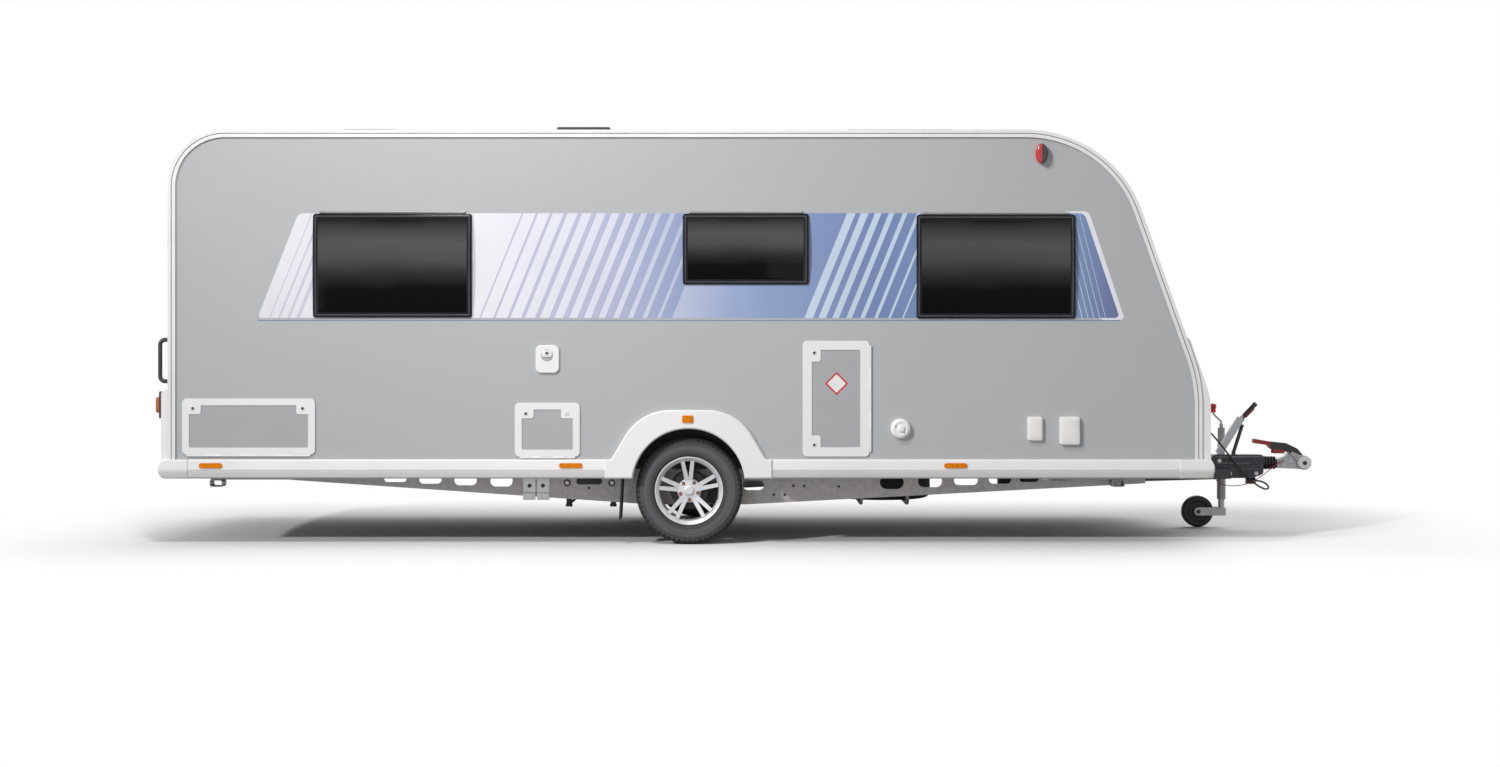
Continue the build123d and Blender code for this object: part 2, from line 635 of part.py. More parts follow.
arch_corners = [
    (ARCH_FOOT, SKIRT_LOW), (ARCH_FOOT, SKIRT_HIGH), (ARCH_WAIST, SKIRT_HIGH), (ARCH_SHOULDER, ARCH_TOP),
    (-ARCH_SHOULDER, ARCH_TOP), (-ARCH_WAIST, SKIRT_HIGH), (-ARCH_FOOT, SKIRT_HIGH),
    (-ARCH_FOOT, SKIRT_LOW)]
arch_radii = [0, 0, ARCH_BLEND, ARCH_SHOULDER_RADIUS, ARCH_SHOULDER_RADIUS, ARCH_BLEND, 0, 0]
arch_outline = FilletPolyline(*arch_corners, radius=arch_radii, close=True)
arch_sketch = make_face(arch_outline) - Pos(0, ARCH_Z) * Circle(ARCH_INNER)
arch_trim = on_wall(LEFT, arch_sketch, SEAM, ARCH_PROUD)
arch_outer_edges = arch_trim.faces().sort_by(Axis.Y)[-1].edges()
arch_trim = chamfer(arch_outer_edges, SKIRT_EDGE)

# Side windows, their frames and the curtains behind them


def bulge(side, low_x, high_x, low_z, high_z):
    """Drum lying along X whose flank gives a pane its bulge between top and bottom"""
    half_height = (high_z - low_z) / 2
    radius = (half_height**2 + PANE_CROWN**2) / (2 * PANE_CROWN)
    middle_y = side * (BODY_HALF_WIDTH + PANE_EDGE + PANE_CROWN - radius)
    return yz_prism(
        Pos(middle_y, (low_z + high_z) / 2) * Circle(radius), low_x - PANE_EDGE, high_x + PANE_EDGE)


side_panes = []
opening_frames = []
curtains = []
for side, *sizes in SIDE_WINDOWS:
    outline = panel(*sizes, WINDOW_CORNER)
    side_panes.append(on_wall(side, outline, SEAM, PANE_EDGE + 2 * PANE_CROWN) & bulge(side, *sizes))
    frame = on_wall(side, panel(*sizes, WINDOW_CORNER, WINDOW_LAP + SEAM), -WALL - FRAME_INSIDE, 0)
    frame = frame - on_wall(
        side, panel(*sizes, WINDOW_CORNER / 2, WINDOW_LAP + FRAME_WALL), -2 * WALL, WALL)
    opening_frames.append(frame)
    low_x, high_x, low_z, high_z = sizes
    rail = panel(low_x + WINDOW_CORNER, high_x - WINDOW_CORNER, high_z + SEAM, high_z + HINGE_RAIL, SEAM)
    side_panes.append(on_wall(side, rail, SEAM, HINGE_RAIL))
    for curtain_x in (low_x, high_x - CURTAIN_WIDTH):
        cloth = panel(curtain_x, curtain_x + CURTAIN_WIDTH, low_z - HINGE_RAIL, high_z, SEAM)
        inside = WALL + FRAME_INSIDE + SEAM
        curtains.append(on_wall(side, cloth, -inside - CURTAIN_THICK, -inside))

# Rooflights: tapered hoods on the roof

rooflights = []
for middle_x, middle_y, length, width, height in ROOFLIGHTS:
    base = Pos(middle_x, middle_y, ROOF_Z + SEAM) * RectangleRounded(length, width, ROOFLIGHT_TAPER)
    crown_size = (length - 2 * ROOFLIGHT_TAPER, width - 2 * ROOFLIGHT_TAPER)
    crown = Pos(middle_x, middle_y, ROOF_Z + height) * RectangleRounded(*crown_size, ROOFLIGHT_TAPER / 2)
    rooflights.append(loft([base, crown]))

# Hatches and entrance door


def hinge(origin, axis, toward_leaf, length, knuckles):
    """Hinge barrel from origin along axis. Returns the fixed half with its pin, and the leaf half.

    Local x runs along the pin, local z points to the leaf and local y points into the wall.
    """
    place = Plane(origin=origin, x_dir=axis, z_dir=toward_leaf)
    step = length / knuckles
    barrel = Rot(0, 90, 0) * Cylinder(BARREL_RADIUS, step - KNUCKLE_GAP)
    bore = Pos(length / 2, 0, 0) * (Rot(0, 90, 0) * Cylinder(PIN_RADIUS + PIN_PLAY, 2 * length))
    pin = Pos(length / 2, 0, 0) * (Rot(0, 90, 0) * Cylinder(PIN_RADIUS, length - KNUCKLE_GAP))
    wall_web = span_box(
        (-(step - KNUCKLE_GAP) / 2, (step - KNUCKLE_GAP) / 2), (0, HINGE_AXIS_OUT - SEAM),
        (-BARREL_RADIUS / 2, BARREL_RADIUS / 2))
    leaf_web = span_box(
        (-(step - KNUCKLE_GAP) / 2, (step - KNUCKLE_GAP) / 2), (0, BARREL_RADIUS - LIP_GAP),
        (0, HINGE_DROP + 2 * LIP_GAP))
    fixed = pin
    leaf = None
    for index in range(knuckles):
        shift = Pos((index + 0.5) * step, 0, 0)
        if index % 2 == 0:
            fixed = fixed + shift * (barrel + wall_web)
        else:
            piece = shift * (barrel + leaf_web)
            leaf = piece if leaf is None else leaf + piece
    return place * fixed, place * (leaf - bore)


def hatch(side, sizes, hinge_edge, knuckles, insert, lock_pads):
    """A moulded leaf with lip, plug and sunk insert, and the ring that lines its opening

    The insert's two corners away from the hinge leave a raised pad for a lock.
    """
    low_x, high_x, low_z, high_z = sizes
    lip = on_wall(side, panel(*sizes, LIP_CORNER), LIP_GAP, LIP_OUT)
    plug = on_wall(
        side, panel(*sizes, LIP_CORNER / 2, PLUG_INSET), -WALL + PLUG_INSIDE, LIP_OUT - INSERT_RECESS)
    sunk = panel(*sizes, INSERT_CORNER, insert)
    if lock_pads:
        far_corners = [(low_x + insert, high_z - insert), (high_x - insert, high_z - insert)]
        pad_size = (2 * LOCK_PAD_ALONG, 2 * LOCK_PAD_ACROSS)
        if hinge_edge == "front":
            far_corners = [(low_x + insert, low_z + insert), (low_x + insert, high_z - insert)]
            pad_size = (2 * LOCK_PAD_ACROSS, 2 * LOCK_PAD_ALONG)
        for corner in far_corners:
            sunk = sunk - Pos(*corner) * RectangleRounded(*pad_size, LOCK_PAD_CORNER)
    recess = on_wall(side, sunk, LIP_OUT - INSERT_RECESS, 2 * LIP_OUT)
    ring_outer = panel(*sizes, LIP_CORNER, RING_INSET + SEAM)
    ring_inner = panel(*sizes, LIP_CORNER / 2, RING_INSET + RING_WALL)
    frame = on_wall(side, ring_outer, -WALL, 0) - on_wall(side, ring_inner, -2 * WALL, WALL)
    out_y = side * (BODY_HALF_WIDTH + HINGE_AXIS_OUT)
    clear = LIP_CORNER
    if hinge_edge == "low":
        along = (-side, 0, 0)
        start_x = low_x + clear if side == RIGHT else high_x - clear
        origin = (start_x, out_y, low_z - HINGE_DROP)
        fixed, moving = hinge(origin, along, (0, 0, 1), high_x - low_x - 2 * clear, knuckles)
    else:
        along = (0, 0, -side)
        start_z = low_z + clear if side == RIGHT else high_z - clear
        origin = (high_x + HINGE_DROP, out_y, start_z)
        fixed, moving = hinge(origin, along, (-1, 0, 0), high_z - low_z - 2 * clear, knuckles)
    opening_frames.append(frame)
    opening_frames.append(fixed)
    return (lip + plug - recess) + moving


locker_door = hatch(RIGHT, LOCKER, "low", 7, LOCKER_INSERT, True)
service_door = hatch(RIGHT, SERVICE, "low", 5, SERVICE_INSERT, True)
gas_door = hatch(RIGHT, GAS, "front", 5, GAS_INSERT, True)
entrance_door = hatch(LEFT, DOOR, "front", 9, DOOR_INSERT, False)
door_hole = on_wall(LEFT, panel(*DOOR_WINDOW, WINDOW_CORNER, WINDOW_LAP), -2 * WALL, WALL)
entrance_door = entrance_door - door_hole
pane_seat = LIP_OUT - INSERT_RECESS + SEAM
door_pane = on_wall(LEFT, panel(*DOOR_WINDOW, WINDOW_CORNER), pane_seat, pane_seat + DOOR_WINDOW_PROUD)

# Running gear: tyres, spoked rims, brake drums, swing arms and axle beam


def wheel_revolve(points, radii):
    """Ring turned about the wheel's own axis (+Y outboard) from points of offset and radius"""
    outline = FilletPolyline(*points, radius=radii, close=True)
    return revolve(make_face(Plane.YZ * outline), Axis.Y)


def tyre_solid():
    flange = RIM_FLANGE_RADIUS
    bulge = (flange + TYRE_RADIUS) / 2
    half = [
        (RIM_SEAT_HALF_WIDTH - SEAM, BEAD_RADIUS), (RIM_SEAT_HALF_WIDTH - SEAM, flange + 2),
        (TYRE_HALF_WIDTH - 2, bulge - 22), (TYRE_HALF_WIDTH, bulge), (TYRE_HALF_WIDTH - 5, bulge + 30),
        (TREAD_HALF_WIDTH, TYRE_RADIUS),
    ]
    other = [(-offset, radius) for offset, radius in reversed(half)]
    radii = [0, 6, 24, 40, 40, 10, 10, 40, 40, 24, 6, 0]
    return wheel_revolve(half + other, radii)


def rim_solid():
    seat = BEAD_RADIUS - SEAM
    barrel = wheel_revolve([
        (-RIM_HALF_WIDTH, RIM_FLANGE_RADIUS), (-RIM_SEAT_HALF_WIDTH, RIM_FLANGE_RADIUS),
        (-RIM_SEAT_HALF_WIDTH, seat),
        (RIM_SEAT_HALF_WIDTH, seat), (RIM_SEAT_HALF_WIDTH, RIM_FLANGE_RADIUS),
        (RIM_HALF_WIDTH, RIM_FLANGE_RADIUS),
        (RIM_HALF_WIDTH, RIM_FLANGE_RADIUS - 8), (RIM_SEAT_HALF_WIDTH - 4, BARREL_INNER + 6),
        (HUB_FRONT, BARREL_INNER),
        (-HUB_FRONT, BARREL_INNER), (-RIM_SEAT_HALF_WIDTH, BARREL_INNER + 6),
        (-RIM_HALF_WIDTH, RIM_FLANGE_RADIUS - 8),
    ], [2, 2, 0, 0, 2, 3, 3, 6, 6, 6, 6, 3])
    hub = wheel_revolve([
        (HUB_FACE, 0), (HUB_FACE, HUB_RADIUS), (HUB_FRONT - 8, HUB_RADIUS), (HUB_FRONT, HUB_RADIUS - 8),
        (HUB_FRONT, CAP_RADIUS), (HUB_FRONT + 9, CAP_RADIUS), (HUB_FRONT + 13, CAP_RADIUS - 8),
        (HUB_FRONT + 13, 0),
    ], [0, 0, 6, 6, 0, 3, 3, 0])
    dish = wheel_revolve([
        (HUB_FACE + 6, HUB_RADIUS - 10), (HUB_FRONT, HUB_RADIUS - 10),
        (RIM_SEAT_HALF_WIDTH + 2, BARREL_INNER + 5),
        (RIM_SEAT_HALF_WIDTH - 30, BARREL_INNER + 5),
    ], [0, 0, 0, 0])
    root_r = HUB_RADIUS - 12
    tip_r = BARREL_INNER + 7
    blade = make_face(Polyline(
        (root_r, -SPOKE_ROOT / 2), (tip_r, -SPOKE_TIP / 2), (tip_r, SPOKE_TIP / 2),
        (root_r, SPOKE_ROOT / 2), close=True))
    rim = barrel + hub
    for pair in range(SPOKE_PAIRS):
        middle = SPOKE_TURN + pair * 360 / SPOKE_PAIRS
        for turn in (middle - SPOKE_HALF_ANGLE, middle + SPOKE_HALF_ANGLE):
            rim = rim + (dish & xz_prism(Rot(0, 0, turn) * blade, 0, RIM_HALF_WIDTH))
        bolt_angle = math.radians(middle + 180 / SPOKE_PAIRS)
        bolt = Pos(BOLT_CIRCLE * math.cos(bolt_angle), BOLT_CIRCLE * math.sin(bolt_angle)) * Circle(
            BOLT_RECESS)
        rim = rim - xz_prism(bolt, HUB_FRONT - BOLT_RECESS, 2 * HUB_FRONT)
    return rim


def drum_solid():
    """Brake drum with its hub, bored for the stub axle"""
    bore = SPINDLE_RADIUS + PIN_PLAY
    return wheel_revolve([
        (HUB_FACE - SEAM, bore), (HUB_FACE - SEAM, HUB_RADIUS - 6), (0, HUB_RADIUS), (0, DRUM_RADIUS),
        (-DRUM_DEPTH, DRUM_RADIUS), (-DRUM_DEPTH, bore),
    ], [0, 3, 0, 6, 2, 0])


def swing_arm():
    """Trailing arm with the stub axle, left-hand, at its place"""
    back = WHEEL_Y - DRUM_DEPTH - BACKPLATE
    face = WHEEL_Y - TYRE_HALF_WIDTH - ARM_CLEARANCE
    neck = xz_prism(Pos(0, TYRE_RADIUS) * Circle(2 * SPINDLE_RADIUS), face - SEAM, back)
    outline = make_hull((
        Pos(AXLE_FORWARD, AXLE_Z) * Circle(AXLE_RADIUS + 12) + Pos(0, TYRE_RADIUS) * Circle(2 * SPINDLE_RADIUS)).edges())
    arm = xz_prism(outline, face - ARM_WIDTH, face)
    plate = xz_prism(
        Pos(0, TYRE_RADIUS) * Circle(DRUM_RADIUS + BACKPLATE), back - SEAM, back + BACKPLATE - 1)
    stub = xz_prism(Pos(0, TYRE_RADIUS) * Circle(SPINDLE_RADIUS), back - SEAM, WHEEL_Y + HUB_FACE - 4)
    return arm + neck + plate + stub


tyre = tyre_solid()
rim = rim_solid()
brake_drum = drum_solid()
left_wheel = Pos(0, WHEEL_Y, TYRE_RADIUS)
arm = swing_arm()
axle_end = WHEEL_Y - TYRE_HALF_WIDTH - ARM_CLEARANCE - ARM_WIDTH - SEAM
axle_beam = xz_prism(Pos(AXLE_FORWARD, AXLE_Z) * RegularPolygon(AXLE_RADIUS, 6), -axle_end, axle_end)

# Chassis rails, cross members, drawbar


def chassis_rail():
    """Left-hand folded channel, deepest at the axle, with lightening holes in its web"""
    top = FLOOR_Z - SEAM
    corners = [
        (RAIL_REAR_X, RAIL_REAR_Z), (RAIL_DEEP_REAR_X, RAIL_DEEP_Z), (RAIL_DEEP_FRONT_X, RAIL_DEEP_Z),
        (RAIL_FRONT_X, RAIL_FRONT_Z), (RAIL_FRONT_X, top), (RAIL_REAR_X, top),
    ]
    web = make_face(Polyline(*corners, close=True))
    hollow = offset(web, -RAIL_PLATE)
    inner = RAIL_OUTER_Y - RAIL_FLANGE
    rail = xz_prism(web, inner, RAIL_OUTER_Y) - xz_prism(hollow, 0, RAIL_OUTER_Y - RAIL_PLATE)
    for middle_x, length, low_z, high_z in RAIL_HOLES:
        height = high_z - low_z
        slot = panel(middle_x - length / 2, middle_x + length / 2, low_z, high_z, height / 2 - SEAM)
        rail = rail - xz_prism(slot, 0, 2 * RAIL_OUTER_Y)
    hole = Pos(AXLE_FORWARD, AXLE_Z) * Circle(AXLE_RADIUS + AXLE_HOLE_PLAY)
    return rail - xz_prism(hole, 0, 2 * RAIL_OUTER_Y)


rail_inner_y = RAIL_OUTER_Y - RAIL_FLANGE - SEAM
cross_members = []
for middle_x in CROSS_X:
    beam = span_box(
        (middle_x - CROSS_WIDTH / 2, middle_x + CROSS_WIDTH / 2), (-rail_inner_y, rail_inner_y),
        (FLOOR_Z - SEAM - CROSS_HEIGHT / 2, FLOOR_Z - SEAM))
    cross_members.append(beam)

run = math.hypot(DRAWBAR_FRONT_X - DRAWBAR_REAR_X, DRAWBAR_REAR_Y - DRAWBAR_FRONT_Y)
across = DRAWBAR_WIDTH * run / (DRAWBAR_FRONT_X - DRAWBAR_REAR_X)
drawbar_plan = make_face(Polyline(
    (DRAWBAR_REAR_X, DRAWBAR_REAR_Y - across), (DRAWBAR_REAR_X, DRAWBAR_REAR_Y),
    (DRAWBAR_FRONT_X, DRAWBAR_FRONT_Y), (DRAWBAR_FRONT_X, DRAWBAR_FRONT_Y - across), close=True))
drawbar_rail = xy_prism(drawbar_plan, DRAWBAR_LOW, DRAWBAR_HIGH)
post = span_box(
    (DRAWBAR_REAR_X, DRAWBAR_REAR_X + 2 * CROSS_WIDTH),
    (DRAWBAR_REAR_Y - across, DRAWBAR_REAR_Y - across / 2),
    (DRAWBAR_HIGH - 1, FLOOR_Z - SEAM))

# Brackets under the floor, mud flaps, waste pipes and the spare wheel

jack_face = RAIL_OUTER_Y + SEAM
jack_outline = panel(
    JACK_X - JACK_HALF_LENGTH, JACK_X + JACK_HALF_LENGTH, JACK_LOW, FLOOR_Z - SEAM, JACK_PLATE)
jack_plate = xz_prism(jack_outline, jack_face, jack_face + JACK_PLATE)
jack_lip = span_box(
    (JACK_X - JACK_HALF_LENGTH, JACK_X + JACK_HALF_LENGTH), (jack_face, jack_face + JACK_LIP_OUT),
    (JACK_LOW, JACK_LOW + JACK_LIP_HEIGHT))
jack_plate = jack_plate + fillet(jack_lip.edges().filter_by(Axis.X), JACK_PLATE / 2)
for hole_x in (JACK_X - JACK_HOLE_SPREAD, JACK_X + JACK_HOLE_SPREAD):
    hole = Pos(hole_x, JACK_HOLE_Z) * Circle(JACK_HOLE)
    jack_plate = jack_plate - xz_prism(hole, RAIL_OUTER_Y, 2 * RAIL_OUTER_Y)
jack_split = panel(JACK_X - JACK_SPLIT / 2, JACK_X + JACK_SPLIT / 2, 0, JACK_SPLIT_TOP, JACK_SPLIT / 3)
jack_plate = jack_plate - xz_prism(jack_split, RAIL_OUTER_Y, 2 * RAIL_OUTER_Y)

flap_outer_y = BODY_HALF_WIDTH - WALL - MUD_FLAP_THICK
flap_sheet = span_box(
    (-MUD_FLAP_THICK, 0), (WHEEL_BOX_INNER_Y + 2 * MUD_FLAP_THICK, flap_outer_y),
    (MUD_FLAP_LOW - FLOOR_Z, MUD_FLAP_THICK))
below_floor = span_box((REAR_X, FRONT_X), (-BODY_HALF_WIDTH, BODY_HALF_WIDTH), (0, FLOOR_Z - SEAM))
mud_flap = (Pos(MUD_FLAP_X, 0, FLOOR_Z) * (Rot(0, MUD_FLAP_LEAN, 0) * flap_sheet)) & below_floor

waste_pipes = []
for drop_x, stay_x in WASTE_PIPES:
    foot_z = WASTE_LOW + WASTE_RADIUS
    drop = rod((drop_x, WASTE_Y, FLOOR_Z - SEAM), (drop_x, WASTE_Y, WASTE_LOW), WASTE_RADIUS)
    collar = rod((drop_x, WASTE_Y, foot_z), (drop_x, WASTE_Y, WASTE_LOW), WASTE_RADIUS + WASTE_STAY / 2)
    stay = rod((drop_x, WASTE_Y, foot_z), (stay_x, WASTE_Y, foot_z + WASTE_STAY_RISE), WASTE_STAY)
    hanger = rod(
        (stay_x, WASTE_Y, foot_z + WASTE_STAY_RISE - WASTE_STAY), (stay_x, WASTE_Y, FLOOR_Z - SEAM),
        WASTE_STAY)
    waste_pipes.append(drop + collar + stay + hanger)

spare_disc = wheel_revolve([
    (-RIM_SEAT_HALF_WIDTH, BARREL_INNER), (-RIM_SEAT_HALF_WIDTH, BEAD_RADIUS + 2),
    (RIM_SEAT_HALF_WIDTH, BEAD_RADIUS + 2),
    (RIM_SEAT_HALF_WIDTH, BARREL_INNER), (HUB_FACE, BARREL_INNER), (HUB_FACE, CAP_RADIUS), (0, CAP_RADIUS),
    (0, BARREL_INNER),
], [0, 0, 0, 0, 0, 0, 0, 0])
spare_wheel = Pos(SPARE_X, 0, SPARE_LOW + TYRE_HALF_WIDTH) * (Rot(90, 0, 0) * (tyre_solid() + spare_disc))
carrier_y = TYRE_RADIUS + CARRIER_GAP + CARRIER_RADIUS
carrier_z = SPARE_LOW - SEAM - CARRIER_RADIUS
carriers = []
for carrier_x in (SPARE_X - CARRIER_SPREAD, SPARE_X + CARRIER_SPREAD):
    corners = [
        (carrier_x, -carrier_y, FLOOR_Z - SEAM), (carrier_x, -carrier_y, carrier_z),
        (carrier_x, carrier_y, carrier_z), (carrier_x, carrier_y, FLOOR_Z - SEAM)]
    path = FilletPolyline(*corners, radius=3 * CARRIER_RADIUS)
    carriers.append(sweep(Plane(origin=corners[0], z_dir=(0, 0, -1)) * Circle(CARRIER_RADIUS), path))

# Corner steadies


def steady_bracket(pivot_x, side):
    """Top plate and two ears that hold the pivot pin of one steady"""
    middle = side * STEADY_Y
    reach = STEADY_WIDTH / 2 + EAR_GAP
    top = span_box(
        (pivot_x - BRACKET_HALF, pivot_x + BRACKET_HALF),
        (middle - reach - STEADY_PLATE, middle + reach + STEADY_PLATE),
        (FLOOR_Z - SEAM - STEADY_PLATE, FLOOR_Z - SEAM))
    bracket = top + rod((pivot_x, middle - reach - 2 * STEADY_PLATE, STEADY_PIVOT_Z),
                        (pivot_x, middle + reach + 2 * STEADY_PLATE, STEADY_PIVOT_Z), STEADY_PIN)
    for ear_y in (middle - reach - STEADY_PLATE, middle + reach):
        ear = panel(
            pivot_x - EAR_HALF, pivot_x + EAR_HALF, STEADY_PIVOT_Z - EAR_BELOW, FLOOR_Z - SEAM,
            EAR_HALF / 2)
        bracket = bracket + xz_prism(ear, ear_y, ear_y + STEADY_PLATE)
    return bracket


def steady_leg(pivot_x, side, way):
    """Folded channel that lies under the floor, open upward, with a foot plate at its end"""
    middle = side * STEADY_Y
    root = pivot_x - way * STEADY_DEPTH * 0.7
    tip = pivot_x + way * STEADY_LENGTH
    low = STEADY_PIVOT_Z - STEADY_DEPTH / 2
    outline = panel(min(root, tip), max(root, tip), low, low + STEADY_DEPTH, STEADY_DEPTH / 3)
    leg = xz_prism(outline, middle - STEADY_WIDTH / 2, middle + STEADY_WIDTH / 2)
    hollow = panel(
        min(root, tip) - STEADY_WIDTH, max(root, tip) + STEADY_WIDTH, low + STEADY_PLATE,
        low + 2 * STEADY_DEPTH, SEAM)
    leg = leg - xz_prism(
        hollow, middle - STEADY_WIDTH / 2 + STEADY_PLATE, middle + STEADY_WIDTH / 2 - STEADY_PLATE)
    boss = rod(
        (pivot_x, middle - STEADY_WIDTH / 2, STEADY_PIVOT_Z),
        (pivot_x, middle + STEADY_WIDTH / 2, STEADY_PIVOT_Z),
        STEADY_BOSS)
    foot_x = sorted((tip - way * STEADY_PLATE, tip - way * (STEADY_PLATE + STEADY_FOOT_LENGTH)))
    foot_z = (low - STEADY_FOOT_DROP, low + STEADY_PLATE / 2)
    loop = panel(*foot_x, *foot_z, STEADY_FOOT_DROP / 3)
    loop = loop - panel(*foot_x, *foot_z, STEADY_FOOT_DROP / 4, STEADY_FOOT_WALL)
    foot = xz_prism(loop, middle - STEADY_FOOT / 2, middle + STEADY_FOOT / 2)
    bore = rod(
        (pivot_x, middle - STEADY_WIDTH, STEADY_PIVOT_Z), (pivot_x, middle + STEADY_WIDTH, STEADY_PIVOT_Z),
        STEADY_PIN + PIN_PLAY)
    return leg + boss + foot - bore


# Hitch: overrun housing, bellows, coupling head, stabiliser handle

housing_outline = FilletPolyline(
    (HOUSING_REAR_X, DRAWBAR_HIGH + SEAM), (HOUSING_REAR_X, HOUSING_HIGH), (HOUSING_FRONT_X, HOUSING_HIGH),
    (HOUSING_FRONT_X, HOUSING_LOW + 28), (HOUSING_FRONT_X - 70, HOUSING_LOW),
    (DRAWBAR_FRONT_X + SEAM, HOUSING_LOW),
    (DRAWBAR_FRONT_X + SEAM, DRAWBAR_HIGH + SEAM), radius=[0, 30, 18, 22, 30, 0, 0], close=True)
overrun_housing = xz_prism(make_face(housing_outline), -HOUSING_HALF_WIDTH, HOUSING_HALF_WIDTH)
flank = xz_prism(
    panel(HOUSING_REAR_X + 40, HOUSING_FRONT_X - 40, SHAFT_Z - FLANK_OUT, SHAFT_Z + 2 * FLANK_OUT, FLANK_OUT),
    -HOUSING_HALF_WIDTH - FLANK_OUT, HOUSING_HALF_WIDTH + FLANK_OUT)
overrun_housing = overrun_housing + flank
shaft_room = rod(
    (HOUSING_FRONT_X - 60, 0, SHAFT_Z), (HOUSING_FRONT_X + 60, 0, SHAFT_Z), SHAFT_RADIUS + SEAM)
overrun_housing = overrun_housing - shaft_room
rib = (BELLOWS_END_X - HOUSING_FRONT_X - 2 * SEAM) / BELLOWS_RIBS
bellows_points = [(HOUSING_FRONT_X + SEAM, SHAFT_RADIUS + SEAM)]
for index in range(BELLOWS_RIBS):
    start = HOUSING_FRONT_X + SEAM + index * rib
    crest = BELLOWS_RADIUS - index
    bellows_points += [(start, crest - 9), (start + 0.3 * rib, crest), (start + 0.7 * rib, crest)]
bellows_points += [
    (BELLOWS_END_X - SEAM, BELLOWS_RADIUS - BELLOWS_RIBS - 9), (BELLOWS_END_X - SEAM, SHAFT_RADIUS + SEAM)]
bellows_profile = make_face(Plane.XZ * Polyline(*bellows_points, close=True))
bellows = Pos(Z=SHAFT_Z) * revolve(bellows_profile, Axis.X)


def coupling_head():
    """Cast head: round end over the ball socket, arm sloping up to the handle, drawn shaft behind"""
    disc = Pos(BALL_X, BALL_Z) * Circle(HEAD_RADIUS)
    arm_plan = make_face(Polyline(
        (HEAD_REAR_X, SHAFT_Z - 34), (BALL_X, BALL_Z - HEAD_RADIUS + 4), (BALL_X, BALL_Z + HEAD_RADIUS),
        (BALL_X - HEAD_SHOULDER[0], BALL_Z + HEAD_SHOULDER[1]), (BALL_X - 118, BALL_Z + 48),
        (HEAD_REAR_X, SHAFT_Z + 24), close=True))
    head = xz_prism(disc + arm_plan, -HEAD_HALF_WIDTH, HEAD_HALF_WIDTH)
    shaft = rod((HOUSING_FRONT_X - 58, 0, SHAFT_Z), (HEAD_REAR_X + 20, 0, SHAFT_Z), SHAFT_RADIUS)
    socket = rod((BALL_X, 0, BALL_Z - 2 * HEAD_RADIUS), (BALL_X, 0, BALL_Z), SOCKET_RADIUS)
    dome = Pos(BALL_X, 0, BALL_Z) * Sphere(SOCKET_RADIUS)
    pads = rod(
        (BALL_X, -HEAD_HALF_WIDTH - 9, BALL_Z), (BALL_X, HEAD_HALF_WIDTH + 9, BALL_Z), HEAD_RADIUS * 0.62)
    return head + pads + shaft - socket - dome


seat_front = (BALL_X, BALL_Z + HEAD_RADIUS + SEAM)
seat_rear = (BALL_X - HEAD_SHOULDER[0], BALL_Z + HEAD_SHOULDER[1] + SEAM)
handle_points = [(BALL_X + x, BALL_Z + z) for x, z, radius in STABILISER]
handle_radii = [radius for x, z, radius in STABILISER]
stabiliser_outline = FilletPolyline(
    seat_front, *handle_points, seat_rear, radius=[0, *handle_radii, 0], close=True)
stabiliser_handle = xz_prism(make_face(stabiliser_outline), -HANDLE_WIDTH / 2, HANDLE_WIDTH / 2)

# Handbrake lever and its gas strut

lever_way = Vector(LEVER_TOP[0] - LEVER_BASE[0], LEVER_TOP[1] - LEVER_BASE[1])
lever_angle = math.degrees(math.atan2(lever_way.Y, lever_way.X))
lever_profile = Pos(*LEVER_BASE) * (Rot(0, 0, lever_angle) * (
    Pos(lever_way.length / 2, 0) * Trapezoid(lever_way.length, LEVER_LOW_WIDTH, 86, 88)))
lever = xz_prism(lever_profile, LEVER_Y - LEVER_WIDTH / 2, LEVER_Y + LEVER_WIDTH / 2)
lever_hollow = Pos(*LEVER_BASE) * (Rot(0, 0, lever_angle) * (
    Pos(lever_way.length / 2, -LEVER_WALL) * Rectangle(2 * lever_way.length, LEVER_LOW_WIDTH - 2 * LEVER_WALL)))
above_housing = span_box(
    (HOUSING_REAR_X, HOUSING_FRONT_X), (-2 * HOUSING_HALF_WIDTH, 2 * HOUSING_HALF_WIDTH),
    (HOUSING_HIGH + SEAM, ROOF_Z))
hollow_half = LEVER_WIDTH / 2 - LEVER_WALL
lever = (lever - xz_prism(lever_hollow, LEVER_Y - hollow_half, LEVER_Y + hollow_half)) & above_housing
grip = rod(
    (LEVER_TOP[0], LEVER_Y, LEVER_TOP[1] - GRIP_RADIUS / 2), (GRIP_END[0], LEVER_Y, GRIP_END[1]),
    GRIP_RADIUS)
handbrake_lever = lever + grip
gas_strut = rod(
    (STRUT_BASE[0], LEVER_Y, STRUT_BASE[1]), (STRUT_TOP[0], LEVER_Y, STRUT_TOP[1]), STRUT_RADIUS)
strut_foot = span_box(
    (STRUT_BASE[0] - 12, STRUT_BASE[0] + 12), (LEVER_Y - 8, LEVER_Y + 8),
    (HOUSING_HIGH + SEAM, STRUT_BASE[1] + 6))
gas_strut = (gas_strut + strut_foot) - handbrake_lever

# Jockey wheel: outer tube with clamp and crank, inner tube, fork and wheel


def upright_rod(low, high, radius, x=JOCKEY_X, y=JOCKEY_Y):
    return rod((x, y, low), (x, y, high), radius)


